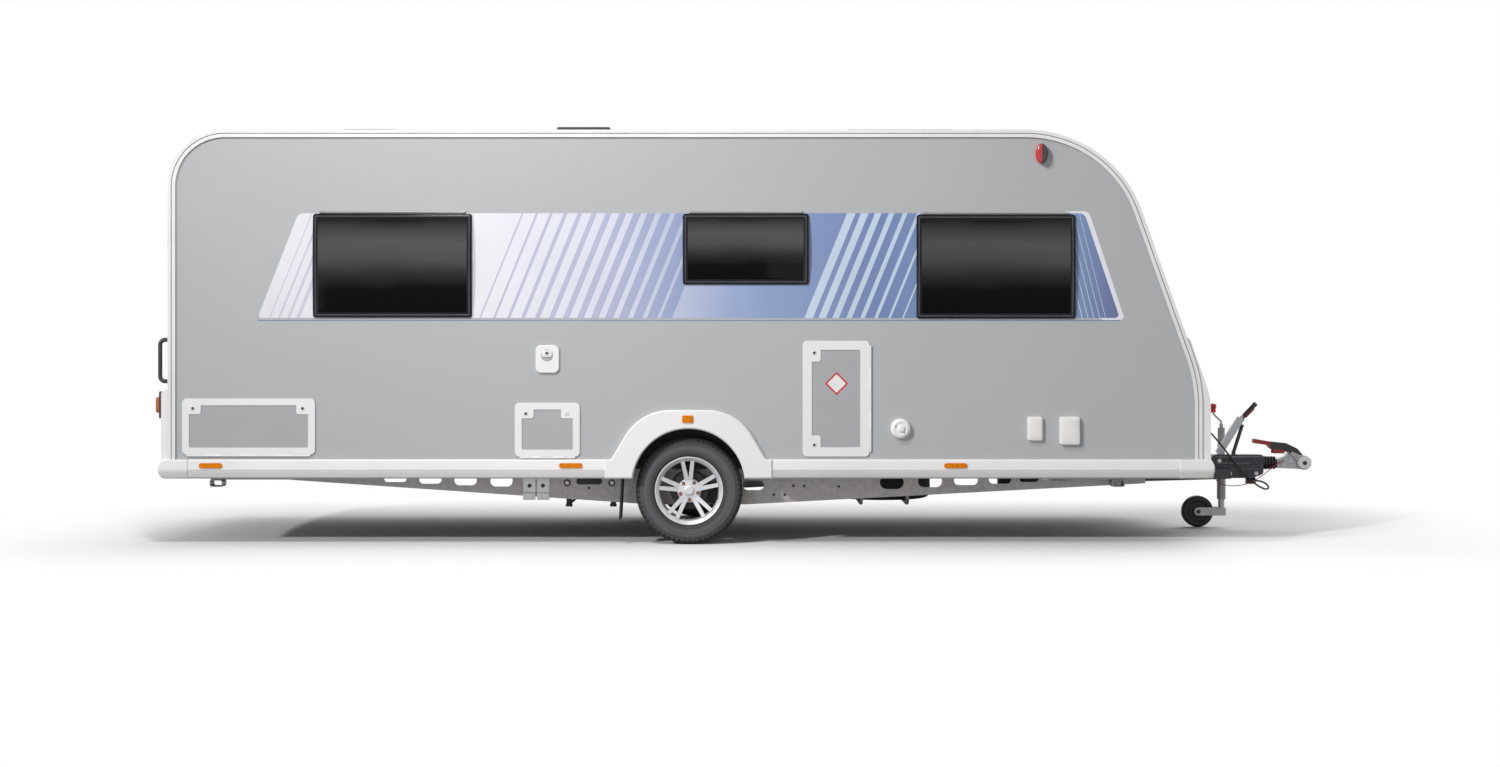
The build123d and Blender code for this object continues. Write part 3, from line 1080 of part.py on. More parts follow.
outer_tube = upright_rod(JOCKEY_TUBE_LOW, JOCKEY_TOP, JOCKEY_OUTER - 5)
outer_tube = outer_tube + upright_rod(JOCKEY_TUBE_LOW, DRAWBAR_LOW, JOCKEY_OUTER)
clamp_z = (HOUSING_HIGH - CLAMP_LOW, HOUSING_HIGH - CLAMP_HIGH)
clamp = span_box(
    (JOCKEY_X - CLAMP_HALF, JOCKEY_X + CLAMP_HALF), (HOUSING_HALF_WIDTH + FLANK_OUT + SEAM, JOCKEY_Y),
    clamp_z)
clamp = clamp + upright_rod(*clamp_z, CLAMP_HALF)
outer_tube = outer_tube + clamp - upright_rod(0, JOCKEY_TOP - 2 * CRANK_STUB, JOCKEY_BORE)
crank = upright_rod(JOCKEY_TOP - CRANK_STUB, JOCKEY_TOP + CRANK_LOW, CRANK_RADIUS + 4)
knob_x = JOCKEY_X - CRANK_REACH
crank_corners = [
    (JOCKEY_X, JOCKEY_Y, JOCKEY_TOP + CRANK_LOW - 4),
    (JOCKEY_X, JOCKEY_Y, JOCKEY_TOP + CRANK_LOW + CRANK_STUB),
    (knob_x, JOCKEY_Y, JOCKEY_TOP + CRANK_HIGH), (knob_x, JOCKEY_Y, JOCKEY_TOP + CRANK_HIGH + CRANK_STUB)]
crank_path = FilletPolyline(*crank_corners, radius=CRANK_RADIUS)
crank = crank + sweep(
    Plane(origin=crank_corners[0], z_dir=(0, 0, 1)) * Circle(CRANK_RADIUS - 2), crank_path)
knob_low = JOCKEY_TOP + CRANK_HIGH + CRANK_RADIUS
knob = upright_rod(knob_low, knob_low + KNOB_HEIGHT, KNOB_RADIUS, x=knob_x)
jockey_tube = outer_tube + crank + knob

inner_top = JOCKEY_TOP - JOCKEY_HEADROOM
inner_tube = upright_rod(JOCKEY_INNER_LOW, inner_top, JOCKEY_INNER)
inner_tube = inner_tube + upright_rod(JOCKEY_INNER_LOW - 30, JOCKEY_INNER_LOW + 1, SWIVEL_PIN)

wheel_x = JOCKEY_X - JOCKEY_TRAIL
fork_half = JOCKEY_WHEEL_HALF + FORK_GAP
fork_crown = upright_rod(JOCKEY_INNER_LOW - 32, JOCKEY_INNER_LOW - SEAM, JOCKEY_INNER)
fork_crown = fork_crown + span_box(
    (JOCKEY_X - JOCKEY_INNER, JOCKEY_X + JOCKEY_INNER),
    (JOCKEY_Y - fork_half - FORK_PLATE, JOCKEY_Y + fork_half + FORK_PLATE),
    (JOCKEY_WHEEL_RADIUS - FORK_ARM_HALF, JOCKEY_INNER_LOW - 4))
fork_crown = fork_crown - upright_rod(JOCKEY_INNER_LOW - 31, JOCKEY_INNER_LOW + 10, SWIVEL_PIN + PIN_PLAY)
fork_arm = panel(
    wheel_x - FORK_ARM_HALF, JOCKEY_X + JOCKEY_INNER, JOCKEY_WHEEL_RADIUS - FORK_ARM_HALF,
    JOCKEY_WHEEL_RADIUS + FORK_ARM_HALF, FORK_ARM_HALF - 1)
jockey_fork = fork_crown
for plate_y in (JOCKEY_Y - fork_half - FORK_PLATE, JOCKEY_Y + fork_half):
    jockey_fork = jockey_fork + xz_prism(fork_arm, plate_y, plate_y + FORK_PLATE)
jockey_fork = jockey_fork + rod(
    (wheel_x, JOCKEY_Y - fork_half - 2 * FORK_PLATE, JOCKEY_WHEEL_RADIUS),
    (wheel_x, JOCKEY_Y + fork_half + 2 * FORK_PLATE, JOCKEY_WHEEL_RADIUS), FORK_PIN)
jockey_wheel = wheel_revolve([
    (-JOCKEY_WHEEL_HALF, FORK_PIN + PIN_PLAY), (-JOCKEY_WHEEL_HALF, 30), (-22, 34), (-22, 66),
    (-JOCKEY_WHEEL_HALF, 72),
    (-JOCKEY_WHEEL_HALF, JOCKEY_WHEEL_RADIUS), (JOCKEY_WHEEL_HALF, JOCKEY_WHEEL_RADIUS),
    (JOCKEY_WHEEL_HALF, 72),
    (22, 66), (22, 34), (JOCKEY_WHEEL_HALF, 30), (JOCKEY_WHEEL_HALF, FORK_PIN + PIN_PLAY),
], [0, 2, 2, 2, 2, 14, 14, 2, 2, 2, 2, 0])

# Lamps, markers, handles and fittings



def tail_shell(low, high, across, upright, corner):
    """Rounded piece on the bumper between two depths, measured outward from its face"""
    face_radius = REAR_BOW_RADIUS + BUMPER_PROUD
    block = yz_prism(panel(*across, *upright, corner), 2 * REAR_X, 0)
    return (block & upright_cylinder(REAR_AXIS_X, face_radius + high)) - upright_cylinder(
        REAR_AXIS_X, face_radius + low)


lamp_housing = tail_shell(SEAM, TAIL_LAMP_PROUD, TAIL_LAMP_Y, TAIL_LAMP_Z, TAIL_LAMP_CORNER)
lens_root = TAIL_LAMP_PROUD + SEAM
tail_lens = tail_shell(lens_root, lens_root + TAIL_LENS_PROUD, TAIL_LENS_Y, TAIL_LENS_Z, TAIL_LAMP_CORNER)
tail_lens = fillet(tail_lens.faces().sort_by(Axis.X)[0].edges(), TAIL_LENS_EDGE)

marker_x, marker_z = MARKER_LAMP
pod_outline = Pos(marker_x, marker_z) * Ellipse(MARKER_LENGTH / 2, MARKER_HEIGHT / 2)
pod = on_wall(LEFT, pod_outline, SEAM, MARKER_OUT)
pod = fillet(pod.faces().sort_by(Axis.Y)[-1].edges(), MARKER_EDGE)
rear_of_pod = span_box((2 * REAR_X, marker_x), (0, 2 * BODY_HALF_WIDTH), (0, 2 * ROOF_Z))
marker_lens = pod & Pos(X=-SEAM) * rear_of_pod
marker_housing = pod - rear_of_pod

amber = []
for middle_x, middle_z, length, height, corner, seat in AMBER_MARKERS:
    outline = panel(
        middle_x - length / 2, middle_x + length / 2, middle_z - height / 2, middle_z + height / 2, corner)
    amber.append(on_wall(LEFT, outline, seat + SEAM, seat + MARKER_PROUD))

fittings = []
for low_x, high_x, low_z, high_z, depth, corner in SERVICE_BOXES:
    box = on_wall(RIGHT, panel(low_x, high_x, low_z, high_z, corner), SEAM, depth)
    fittings.append(fillet(box.faces().sort_by(Axis.Y)[0].edges(), SERVICE_BOX_EDGE))
flue_x, flue_z, flue_radius = FLUE
flue = on_wall(RIGHT, Pos(flue_x, flue_z) * Circle(flue_radius), SEAM, FLUE_OUT)
flue = fillet(flue.faces().sort_by(Axis.Y)[0].edges(), FLUE_EDGE)
fittings.append(flue)

fridge_vents = []
for low_x, high_x, low_z, high_z in FRIDGE_VENTS:
    vent = on_wall(LEFT, panel(low_x, high_x, low_z, high_z, 14), SEAM, VENT_PROUD)
    pitch = (high_z - low_z - 2 * VENT_MARGIN) / VENT_SLOTS
    for index in range(VENT_SLOTS):
        slot_z = low_z + VENT_MARGIN + index * pitch
        slot = panel(
            low_x + VENT_MARGIN, high_x - VENT_MARGIN, slot_z + pitch * 0.2, slot_z + pitch * 0.75,
            VENT_PROUD / 2)
        vent = vent - on_wall(LEFT, slot, VENT_PROUD / 3, 2 * VENT_PROUD)
    fridge_vents.append(vent)

low_z, high_z = HANDLE_Z
panel_x = REAR_AXIS_X - math.sqrt(REAR_BOW_RADIUS**2 - HANDLE_Y**2)
handle_corners = [
    (panel_x + 20, HANDLE_Y, low_z), (panel_x - HANDLE_OUT, HANDLE_Y, low_z),
    (panel_x - HANDLE_OUT, HANDLE_Y, high_z),
    (panel_x + 20, HANDLE_Y, high_z)]
handle_path = FilletPolyline(*handle_corners, radius=HANDLE_BEND)
grab_handle = sweep(Plane(origin=handle_corners[0], z_dir=(-1, 0, 0)) * Circle(HANDLE_RADIUS), handle_path)
grab_handle = grab_handle - upright_cylinder(REAR_AXIS_X, REAR_BOW_RADIUS + SEAM)

# Power cable with its parked plug, and the breakaway cable


def cable_tube(route, radius):
    """Tube along straight runs and tangent arcs, each arc as large as its runs allow"""
    points = [Vector(*point) for point in route]
    runs = [after - before for before, after in zip(points, points[1:])]
    radii = []
    for before, after in zip(runs, runs[1:]):
        half_turn = math.radians(before.get_angle(after)) / 2
        radii.append(CABLE_BEND_SHARE * min(before.length, after.length) / math.tan(half_turn))
    path = FilletPolyline(*points, radius=radii)
    return sweep(Plane(origin=points[0], z_dir=runs[0]) * Circle(radius), path)


power_cable = cable_tube(CABLE_ROUTE, CABLE_RADIUS)
breakaway_cable = cable_tube(BREAKAWAY_ROUTE, BREAKAWAY_RADIUS)
plug_x, plug_y, plug_z = CABLE_ROUTE[-1]
power_plug = rod((plug_x - SEAM, plug_y, plug_z), (plug_x - PLUG_LENGTH, plug_y, plug_z), PLUG_RADIUS)

# Every node

os.makedirs("parts", exist_ok=True)
write("floor", floor)
write("side_wall_right", walls[RIGHT])
write("side_wall_left", walls[LEFT])
write("roof_panel", roof_panel)
write("front_panel", front_panel)
write("rear_panel", rear_panel)
write("awning_rails", *both_sides(awning_rail))
write("side_skirts", *[piece for skirt in skirts for piece in both_sides(skirt)])
write("corner_caps", *[piece for cap in caps for piece in both_sides(cap)])
write("wheel_arches", *both_sides(arch_trim))
write("wheel_boxes", *both_sides(wheel_box))
write("side_windows", *side_panes)
write("front_windows", *front_panes)
write("opening_frames", *opening_frames)
write("curtains", *curtains)
write("rooflights", *rooflights)
write("locker_door", locker_door)
write("service_door", service_door)
write("gas_door", gas_door)
write("entrance_door", entrance_door)
write("door_window", door_pane)
write("lamp_housings", *both_sides(lamp_housing), *both_sides(marker_housing))
write("lamp_lenses", *both_sides(tail_lens), *both_sides(marker_lens))
write("amber_markers", *[piece for marker in amber for piece in both_sides(marker)])
write("service_fittings", *fittings)
write("fridge_vents", *fridge_vents)
write("grab_handles", *both_sides(grab_handle))
write("chassis_rails", *both_sides(chassis_rail()))
write("cross_members", *cross_members)
write("drawbar", *both_sides(drawbar_rail + post))
steady_brackets = [steady_bracket(pivot_x, side) for pivot_x, side, way in STEADIES.values()]
write("chassis_brackets", *both_sides(jack_plate), *steady_brackets)
write("mud_flaps", *both_sides(mud_flap))
write("waste_pipes", *waste_pipes)
write("spare_wheel", spare_wheel)
write("spare_carrier", *carriers)
write("axle_beam", axle_beam)
write("swing_arms", *both_sides(arm))
for side_name, place in (("left", lambda shape: shape), ("right", lambda shape: mirror(shape, about=Plane.XZ))):
    write("tyre_" + side_name, place(left_wheel * tyre))
    write("rim_" + side_name, place(left_wheel * rim))
    write("brake_drum_" + side_name, place(left_wheel * brake_drum))
for name, values in STEADIES.items():
    write(name, steady_leg(*values))
write("overrun_housing", overrun_housing)
write("bellows", bellows)
write("coupling_head", coupling_head())
write("stabiliser_handle", stabiliser_handle)
write("handbrake_lever", handbrake_lever)
write("gas_strut", gas_strut)
write("jockey_outer_tube", jockey_tube)
write("jockey_inner_tube", inner_tube)
write("jockey_fork", jockey_fork)
write("jockey_wheel", Pos(wheel_x, JOCKEY_Y, JOCKEY_WHEEL_RADIUS) * jockey_wheel)
write("power_cable", power_cable)
write("power_plug", power_plug)
write("breakaway_cable", breakaway_cable)
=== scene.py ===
import bmesh
import bpy
import math
from mathutils import Matrix, Vector


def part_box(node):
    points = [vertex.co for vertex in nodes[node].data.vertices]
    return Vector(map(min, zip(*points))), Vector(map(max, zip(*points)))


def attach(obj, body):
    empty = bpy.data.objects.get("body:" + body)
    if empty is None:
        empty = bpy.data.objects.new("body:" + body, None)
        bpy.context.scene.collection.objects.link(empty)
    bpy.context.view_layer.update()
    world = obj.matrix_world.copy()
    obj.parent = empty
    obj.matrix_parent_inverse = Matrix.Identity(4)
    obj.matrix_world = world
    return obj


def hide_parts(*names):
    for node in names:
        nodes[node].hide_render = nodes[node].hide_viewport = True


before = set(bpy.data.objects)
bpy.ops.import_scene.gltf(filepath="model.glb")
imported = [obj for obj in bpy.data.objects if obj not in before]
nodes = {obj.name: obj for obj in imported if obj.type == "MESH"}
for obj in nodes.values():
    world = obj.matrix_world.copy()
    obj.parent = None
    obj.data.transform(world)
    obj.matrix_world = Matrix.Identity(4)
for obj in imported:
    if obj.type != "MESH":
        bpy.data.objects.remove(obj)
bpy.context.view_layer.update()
collection = bpy.context.scene.collection

# Camera and studio. A long lens stands square to the right-hand side at chest height.
# The floor is a pale sheet; a lamp above the long side, a low one and a sun from each side light the caravan.

X_SHIFT = sum(corner[0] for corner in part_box("tyre_right")) / 2


def at(x, y, z):
    """Point of the frame from a point measured forward of the axle"""
    return (x + X_SHIFT, y, z)


camera = bpy.data.objects.new("camera", bpy.data.cameras.new("camera"))
camera.location = at(0.373, -13.6, 1.165)
camera.rotation_euler = (math.pi / 2, 0, 0)
camera.data.sensor_width = 36
camera.data.lens = 48.9
camera.data.shift_y = -0.0197
collection.objects.link(camera)
bpy.context.scene.camera = camera
bpy.context.scene.view_settings.view_transform = "Standard"


def node(tree, kind, **inputs):
    """New shader node with some of its sockets set or linked"""
    made = tree.nodes.new("ShaderNode" + kind)
    for name, value in inputs.items():
        socket = made.inputs[int(name[1:])] if name[0] == "_" else made.inputs[name.replace("_", " ")]
        if isinstance(value, bpy.types.NodeSocket):
            tree.links.new(value, socket)
        else:
            socket.default_value = value
    return made


def maths(tree, operation, first, second=0.0, clamp=False):
    made = node(tree, "Math", _0=first, _1=second)
    made.operation = operation
    made.use_clamp = clamp
    return made.outputs[0]


def seen_directly(tree):
    """1 for rays from the camera, off gloss and through glass, else 0"""
    path = tree.nodes.new("ShaderNodeLightPath")
    seen = maths(tree, "ADD", path.outputs["Is Camera Ray"], path.outputs["Is Glossy Ray"])
    return maths(tree, "ADD", seen, path.outputs["Is Transmission Ray"], True)


world = bpy.data.worlds.new("studio")
bpy.context.scene.world = world
world.use_nodes = True
tree = world.node_tree
sky = tree.nodes["Background"]
sky.inputs["Color"].default_value = (0.97, 0.98, 1.0, 1)
sky.inputs["Strength"].default_value = 0.3
backdrop = node(tree, "Background", Color=(1, 1, 1, 1))
both = node(tree, "MixShader", _0=seen_directly(tree), _1=sky.outputs[0], _2=backdrop.outputs[0])
tree.links.new(both.outputs[0], tree.nodes["World Output"].inputs["Surface"])

# name, direction that the light travels, strength, softness in degrees
SUNS = [
    ("key_sun", (1.0, 1.0, -0.7), 1.5, 3),
    ("far_sun", (-0.5, -0.9, -0.8), 1.5, 60),
]
for name, way, strength, softness in SUNS:
    sun = bpy.data.objects.new(name, bpy.data.lights.new(name, "SUN"))
    sun.data.energy = strength
    sun.data.angle = math.radians(softness)
    sun.rotation_euler = Vector(way).to_track_quat("-Z", "Y").to_euler()
    collection.objects.link(sun)
# name, place, aim, power, size
LAMPS = [
    ("upper_lamp", (-2.2, -4.4, 5.4), (-0.9, -1.2, 1.5), 160, 0.9),
    ("low_lamp", (-1.5, -8.0, 0.5), (-0.6, -0.8, 0.4), 22, 2.0),
]
for name, place, aim, power, size in LAMPS:
    lamp = bpy.data.objects.new(name, bpy.data.lights.new(name, "AREA"))
    lamp.data.energy = power
    lamp.data.size = size
    lamp.location = place
    lamp.rotation_euler = (Vector(aim) - Vector(place)).to_track_quat("-Z", "Y").to_euler()
    collection.objects.link(lamp)


def new_object(name, bm, material):
    """Mesh object at the origin from a finished bmesh, smooth but for its sharp edges"""
    mesh = bpy.data.meshes.new(name)
    bm.to_mesh(mesh)
    bm.free()
    mesh.materials.append(material)
    mesh.shade_smooth()
    mesh.set_sharp_from_angle(angle=math.radians(40))
    obj = bpy.data.objects.new(name, mesh)
    collection.objects.link(obj)
    return obj


floor_paint = bpy.data.materials.new("floor_paint")
floor_paint.use_nodes = True
tree = floor_paint.node_tree
matt = tree.nodes["Principled BSDF"]
matt.inputs["Roughness"].default_value = 0.9
place = node(tree, "SeparateXYZ", _0=tree.nodes.new("ShaderNodeTexCoord").outputs["Object"])
FLOOR_HALF = 60
FLOOR_DROP = 0.0008
# half length and half width of the floor that shows the whole shadow
SHADOW_PATCH = {"X": 3.4, "Y": 1.0}
FADE_START = 0.1
FADE_STOP = 1.9
reach = []
for axis, half in SHADOW_PATCH.items():
    beyond = maths(tree, "SUBTRACT", maths(tree, "ABSOLUTE", place.outputs[axis]), half)
    reach.append(maths(tree, "MAXIMUM", beyond, 0.0))
away = node(tree, "VectorMath", _0=node(tree, "CombineXYZ", X=reach[0], Y=reach[1]).outputs[0])
away.operation = "LENGTH"
fade = node(tree, "MapRange", Value=away.outputs["Value"], From_Min=FADE_START, From_Max=FADE_STOP)
fade.interpolation_type = "SMOOTHSTEP"
look = tree.nodes.new("ShaderNodeLightPath").outputs["Is Camera Ray"]
tone = node(tree, "MapRange", Value=look, To_Min=0.4, To_Max=0.93)
tree.links.new(tone.outputs["Result"], matt.inputs["Base Color"])
bright = node(tree, "Emission", Color=(1, 1, 1, 1))
share = maths(tree, "MULTIPLY", fade.outputs[0], seen_directly(tree))
both = node(tree, "MixShader", _0=share, _1=matt.outputs[0], _2=bright.outputs[0])
tree.links.new(both.outputs[0], tree.nodes["Material Output"].inputs["Surface"])
bm = bmesh.new()
bmesh.ops.create_grid(
    bm, x_segments=1, y_segments=1, size=FLOOR_HALF, matrix=Matrix.Translation((0, 0, -FLOOR_DROP)))
new_object("studio_floor", bm, floor_paint)

# Power cable and breakaway cable. The black rubber lead leaves a gland in the front panel, hangs
# over the drawbar and doubles back into its parked plug; the thin red one runs from the drawbar
# to the coupling head.


def finish(name, colour, rough, metal=0.0, mottle=0.05, patch=2.5, grain=0.0, grain_size=0.002, coat=0.0):
    """Surface with broad tone patches, a gloss that follows them, and a fine grain in the bump"""
    material = bpy.data.materials.new(name)
    material.use_nodes = True
    tree = material.node_tree
    shader = tree.nodes["Principled BSDF"]
    shader.inputs["Metallic"].default_value = metal
    shader.inputs["Coat Weight"].default_value = coat
    place = tree.nodes.new("ShaderNodeTexCoord").outputs["Object"]
    patches = node(tree, "TexNoise", Vector=place, Scale=patch, Detail=5.0)
    tone = node(tree, "ValToRGB", Fac=patches.outputs["Fac"])
    tone.name = "tone"
    for stop, position, share in ((0, 0.32, 1 - mottle), (1, 0.68, 1 + mottle)):
        tone.color_ramp.elements[stop].position = position
        tone.color_ramp.elements[stop].color = (*[min(1.0, value * share) for value in colour], 1)
    tree.links.new(tone.outputs["Color"], shader.inputs["Base Color"])
    gloss = node(
        tree, "MapRange", Value=patches.outputs["Fac"], To_Min=rough * 0.8, To_Max=min(1.0, rough * 1.2))
    tree.links.new(gloss.outputs["Result"], shader.inputs["Roughness"])
    if grain:
        fine = node(tree, "TexNoise", Vector=place, Scale=1 / grain_size, Detail=3.0)
        bump = node(tree, "Bump", Strength=grain, Distance=grain_size, Height=fine.outputs["Fac"])
        tree.links.new(bump.outputs["Normal"], shader.inputs["Normal"])
    return material


def dress(material, *names):
    """Gives CAD nodes a finish in place of their plain one"""
    for name in names:
        nodes[name].data.materials.clear()
        nodes[name].data.materials.append(material)


def route_curve(name, route, radius, material):
    """Round cord on a smooth spline with the route's points as its control points"""
    curve = bpy.data.curves.new(name, "CURVE")
    curve.dimensions = "3D"
    curve.bevel_depth = radius
    curve.bevel_resolution = 5
    curve.resolution_u = 8
    curve.use_fill_caps = True
    spline = curve.splines.new("NURBS")
    spline.points.add(len(route) - 1)
    for point, place in zip(spline.points, route):
        point.co = (*at(*place), 1)
    spline.order_u = 3
    spline.use_endpoint_u = True
    curve.materials.append(material)
    obj = bpy.data.objects.new(name, curve)
    collection.objects.link(obj)
    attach(obj, "caravan")
    return obj


CABLE_ROUTE = [
    (3.307, -0.078, 0.690), (3.354, -0.078, 0.690), (3.407, -0.086, 0.663), (3.460, -0.096, 0.606),
    (3.512, -0.102, 0.540), (3.562, -0.107, 0.474), (3.612, -0.108, 0.411), (3.662, -0.108, 0.356),
    (3.708, -0.106, 0.314), (3.752, -0.102, 0.283), (3.790, -0.092, 0.268), (3.816, -0.074, 0.272),
    (3.820, -0.048, 0.288), (3.806, -0.020, 0.306), (3.776, -0.002, 0.3187), (3.744, -0.002, 0.3187),
]
BREAKAWAY_ROUTE = [
    (3.458, -0.104, 0.3342), (3.478, -0.101, 0.312), (3.520, -0.096, 0.296), (3.570, -0.092, 0.290),
    (3.622, -0.088, 0.293), (3.672, -0.085, 0.305), (3.720, -0.082, 0.325), (3.766, -0.079, 0.353),
    (3.808, -0.074, 0.385), (3.849, -0.067, 0.416), (3.888, -0.057, 0.441), (3.925, -0.0448, 0.455),
]
cable_rubber = finish(
    "cable_rubber", (0.018, 0.018, 0.02), 0.42, mottle=0.25, patch=40, grain=0.25, grain_size=0.0015)
breakaway_sheath = finish("breakaway_sheath", (0.42, 0.02, 0.02), 0.35, mottle=0.25, patch=90)
power_lead = route_curve("power_lead", CABLE_ROUTE, 0.006, cable_rubber)
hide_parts("power_cable")
breakaway_lead = route_curve("breakaway_lead", BREAKAWAY_ROUTE, 0.0028, breakaway_sheath)
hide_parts("breakaway_cable")
dress(cable_rubber, "power_plug")

# Body shell. Side walls are satin grey coated sheet bonded to foam; the roof, front and rear
# are gloss white mouldings, and the cabin floor below them is black coated plywood.

wall_paint = finish(
    "wall_paint", (0.44, 0.445, 0.455), 0.38, mottle=0.015, patch=0.5, grain=0.05, grain_size=0.0012)
white_moulding = finish(
    "white_moulding", (0.84, 0.825, 0.815), 0.3, mottle=0.02, patch=1.2, grain=0.04, coat=0.2)
floor_coat = finish(
    "floor_coat", (0.05, 0.048, 0.045), 0.7, mottle=0.25, patch=9, grain=0.4, grain_size=0.004)
dress(wall_paint, "side_wall_right", "side_wall_left")
dress(white_moulding, "roof_panel", "front_panel", "rear_panel", "wheel_arches")
dress(floor_coat, "floor", "wheel_boxes")

# Awning rails. White coated aluminium sections cover the joint of wall and roof all round each
# side; the groove along the middle of the section and the section's sides are grey, a painted shade.


def graded(name, axis, stops, low, high, rough, sharp=False, centre=(0, 0), **rest):
    """Finish whose colour changes through stops along X or Z, outwards in Y, or out from an axle in R"""
    material = finish(name, (0.97, 0.97, 0.97), rough, **rest)
    tree = material.node_tree
    place = tree.nodes.new("ShaderNodeTexCoord").outputs["Object"]
    split = node(tree, "SeparateXYZ", Vector=place)
    if axis == "R":
        level = node(tree, "CombineXYZ", X=split.outputs["X"], Z=split.outputs["Z"])
        gap = node(tree, "VectorMath", _0=level.outputs[0], _1=(centre[0] + X_SHIFT, 0, centre[1]))
        gap.operation = "DISTANCE"
        along = gap.outputs["Value"]
    else:
        along = maths(tree, "ABSOLUTE", split.outputs["Y"]) if axis == "Y" else split.outputs[axis]
    reach = node(tree, "MapRange", Value=along, From_Min=low, From_Max=high)
    ramp = node(tree, "ValToRGB", Fac=reach.outputs["Result"])
    ramp.color_ramp.interpolation = "CONSTANT" if sharp else "LINEAR"
    ramp.color_ramp.elements.remove(ramp.color_ramp.elements[1])
    for index, (position, colour) in enumerate(stops):
        share = (position - low) / (high - low)
        stop = ramp.color_ramp.elements.new(share) if index else ramp.color_ramp.elements[0]
        stop.position = share
        stop.color = (*colour, 1)
    mixed = node(tree, "Mix", _0=1.0, _6=tree.nodes["tone"].outputs["Color"], _7=ramp.outputs["Color"])
    mixed.data_type = "RGBA"
    mixed.blend_type = "MULTIPLY"
    tree.links.new(mixed.outputs[2], tree.nodes["Principled BSDF"].inputs["Base Color"])
    return material


WHITE = (0.84, 0.835, 0.83)
# Grey for all that lies nearer the wall than the rail's face: painted shade in the groove and on the sides
GROOVE_SHADE_GREY = (0.24, 0.24, 0.26)
GROOVE_SHADE_IN, GROOVE_SHADE_OUT, RAIL_OUT = 1.19, 1.2036, 1.21
rail_coat_groove_shade = graded(
    "rail_coat_groove_shade", "Y", [(GROOVE_SHADE_IN, GROOVE_SHADE_GREY), (GROOVE_SHADE_OUT, WHITE)], GROOVE_SHADE_IN, RAIL_OUT, 0.28, sharp=True,
    coat=0.2)
dress(rail_coat_groove_shade, "awning_rails")

# Side skirts. White coated aluminium sections are screwed along the bottom of both walls and end in
# moulded corner caps; their lower half, which turns under, is greyed by painted shade.

SKIRT_LOW = 0.407
SKIRT_HIGH = 0.523
SKIRT_WHITE = (0.90, 0.89, 0.885)
# Grey at the bottom edge, white from about the middle up: painted shade on the turned-under lower half
SKIRT_PAINTED_SHADE_TONES = [
    (SKIRT_LOW, (0.55, 0.535, 0.525)), (0.444, (0.60, 0.585, 0.575)), (0.470, SKIRT_WHITE),
    (SKIRT_HIGH, SKIRT_WHITE)]
skirt_coat_painted_shade = graded(
    "skirt_coat_painted_shade", "Z", SKIRT_PAINTED_SHADE_TONES, SKIRT_LOW, SKIRT_HIGH, 0.3, mottle=0.03, patch=2.5, grain=0.04, coat=0.2)
dress(skirt_coat_painted_shade, "side_skirts", "corner_caps")

# Livery. Thin printed film lies on both grey walls between the window heights: a pale band that
# deepens to blue towards the front, with leaning bars over it and one fine line below.

WALL_Y = 1.195
FILM = 0.0006
BAND_LOW = 1.384
BAND_HIGH = 2.022
BAND_REAR = -2.626
BAND_FRONT = 2.624
BAND_CORNER = 0.03
BAR_LEAN = 0.26
EDGE_OVER = 0.012
LINE_LOW = 1.366
LINE_HIGH = 1.372
FILM_LAP = 0.016
# low x, high x, low z, high z of the panes in the right-hand wall; the left has the end ones
PANES = [
    (-2.286, -1.319, 1.386, 2.019),
    (-0.036, 0.730, 1.587, 2.019),
    (1.386, 2.353, 1.380, 2.013),
]
DOOR_HOLE = (0.552, 1.206, 0.5, 2.5)
WINDOW_HOLES = [
    (low_x + FILM_LAP, high_x - FILM_LAP, low_z + FILM_LAP, high_z - FILM_LAP)
    for low_x, high_x, low_z, high_z in PANES]


def cut_hole(bm, low_x, high_x, low_z, high_z):
    """Cuts a flat plate along the edges of an opening and takes the inside away"""
    along = Vector((1, 0, 0))
    upward = Vector((0, 0, 1))
    for axis, place in (
            (along, low_x + X_SHIFT), (along, high_x + X_SHIFT), (upward, low_z), (upward, high_z)):
        bmesh.ops.bisect_plane(
            bm, geom=bm.verts[:] + bm.edges[:] + bm.faces[:], plane_co=axis * place, plane_no=axis)
    inside = []
    for face in bm.faces:
        middle = face.calc_center_median()
        if low_x < middle.x - X_SHIFT < high_x and low_z < middle.z < high_z:
            inside.append(face)
    bmesh.ops.delete(bm, geom=inside, context="FACES")


def side_plate(
        name, corners, low_y, thick, material, radius=0.0, edge=0.0, sides="both", body="caravan",
        holes=()):
    """Plate that faces sideways, from corners in X and Z, with round corners and an eased edge"""
    bm = bmesh.new()
    bm.faces.new([bm.verts.new((x + X_SHIFT, -low_y, z)) for x, z in corners])
    if radius:
        bmesh.ops.bevel(
            bm, geom=bm.verts[:], offset=radius, affect="VERTICES", segments=6, profile=0.5, material=-1)
    for hole in holes:
        cut_hole(bm, *hole)
    if not bm.faces:
        bm.free()
        return None
    raised = bmesh.ops.extrude_face_region(bm, geom=bm.faces[:])
    moved = [item for item in raised["geom"] if isinstance(item, bmesh.types.BMVert)]
    bmesh.ops.translate(bm, verts=moved, vec=(0, -thick, 0))
    if edge:
        rim = [item for item in bm.edges if all(vert in moved for vert in item.verts)]
        bmesh.ops.bevel(bm, geom=rim, offset=edge, affect="EDGES", segments=3, profile=0.5, material=-1)
    if sides == "both":
        bmesh.ops.mirror(bm, geom=bm.verts[:] + bm.edges[:] + bm.faces[:], axis="Y", merge_dist=-1)
    if sides == "left":
        bmesh.ops.scale(bm, vec=(1, -1, 1), verts=bm.verts[:])
    bmesh.ops.recalc_face_normals(bm, faces=bm.faces[:])
    obj = new_object(name, bm, material)
    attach(obj, body)
    return obj


def box_corners(low_x, high_x, low_z, high_z):
    return [(low_x, low_z), (high_x, low_z), (high_x, high_z), (low_x, high_z)]


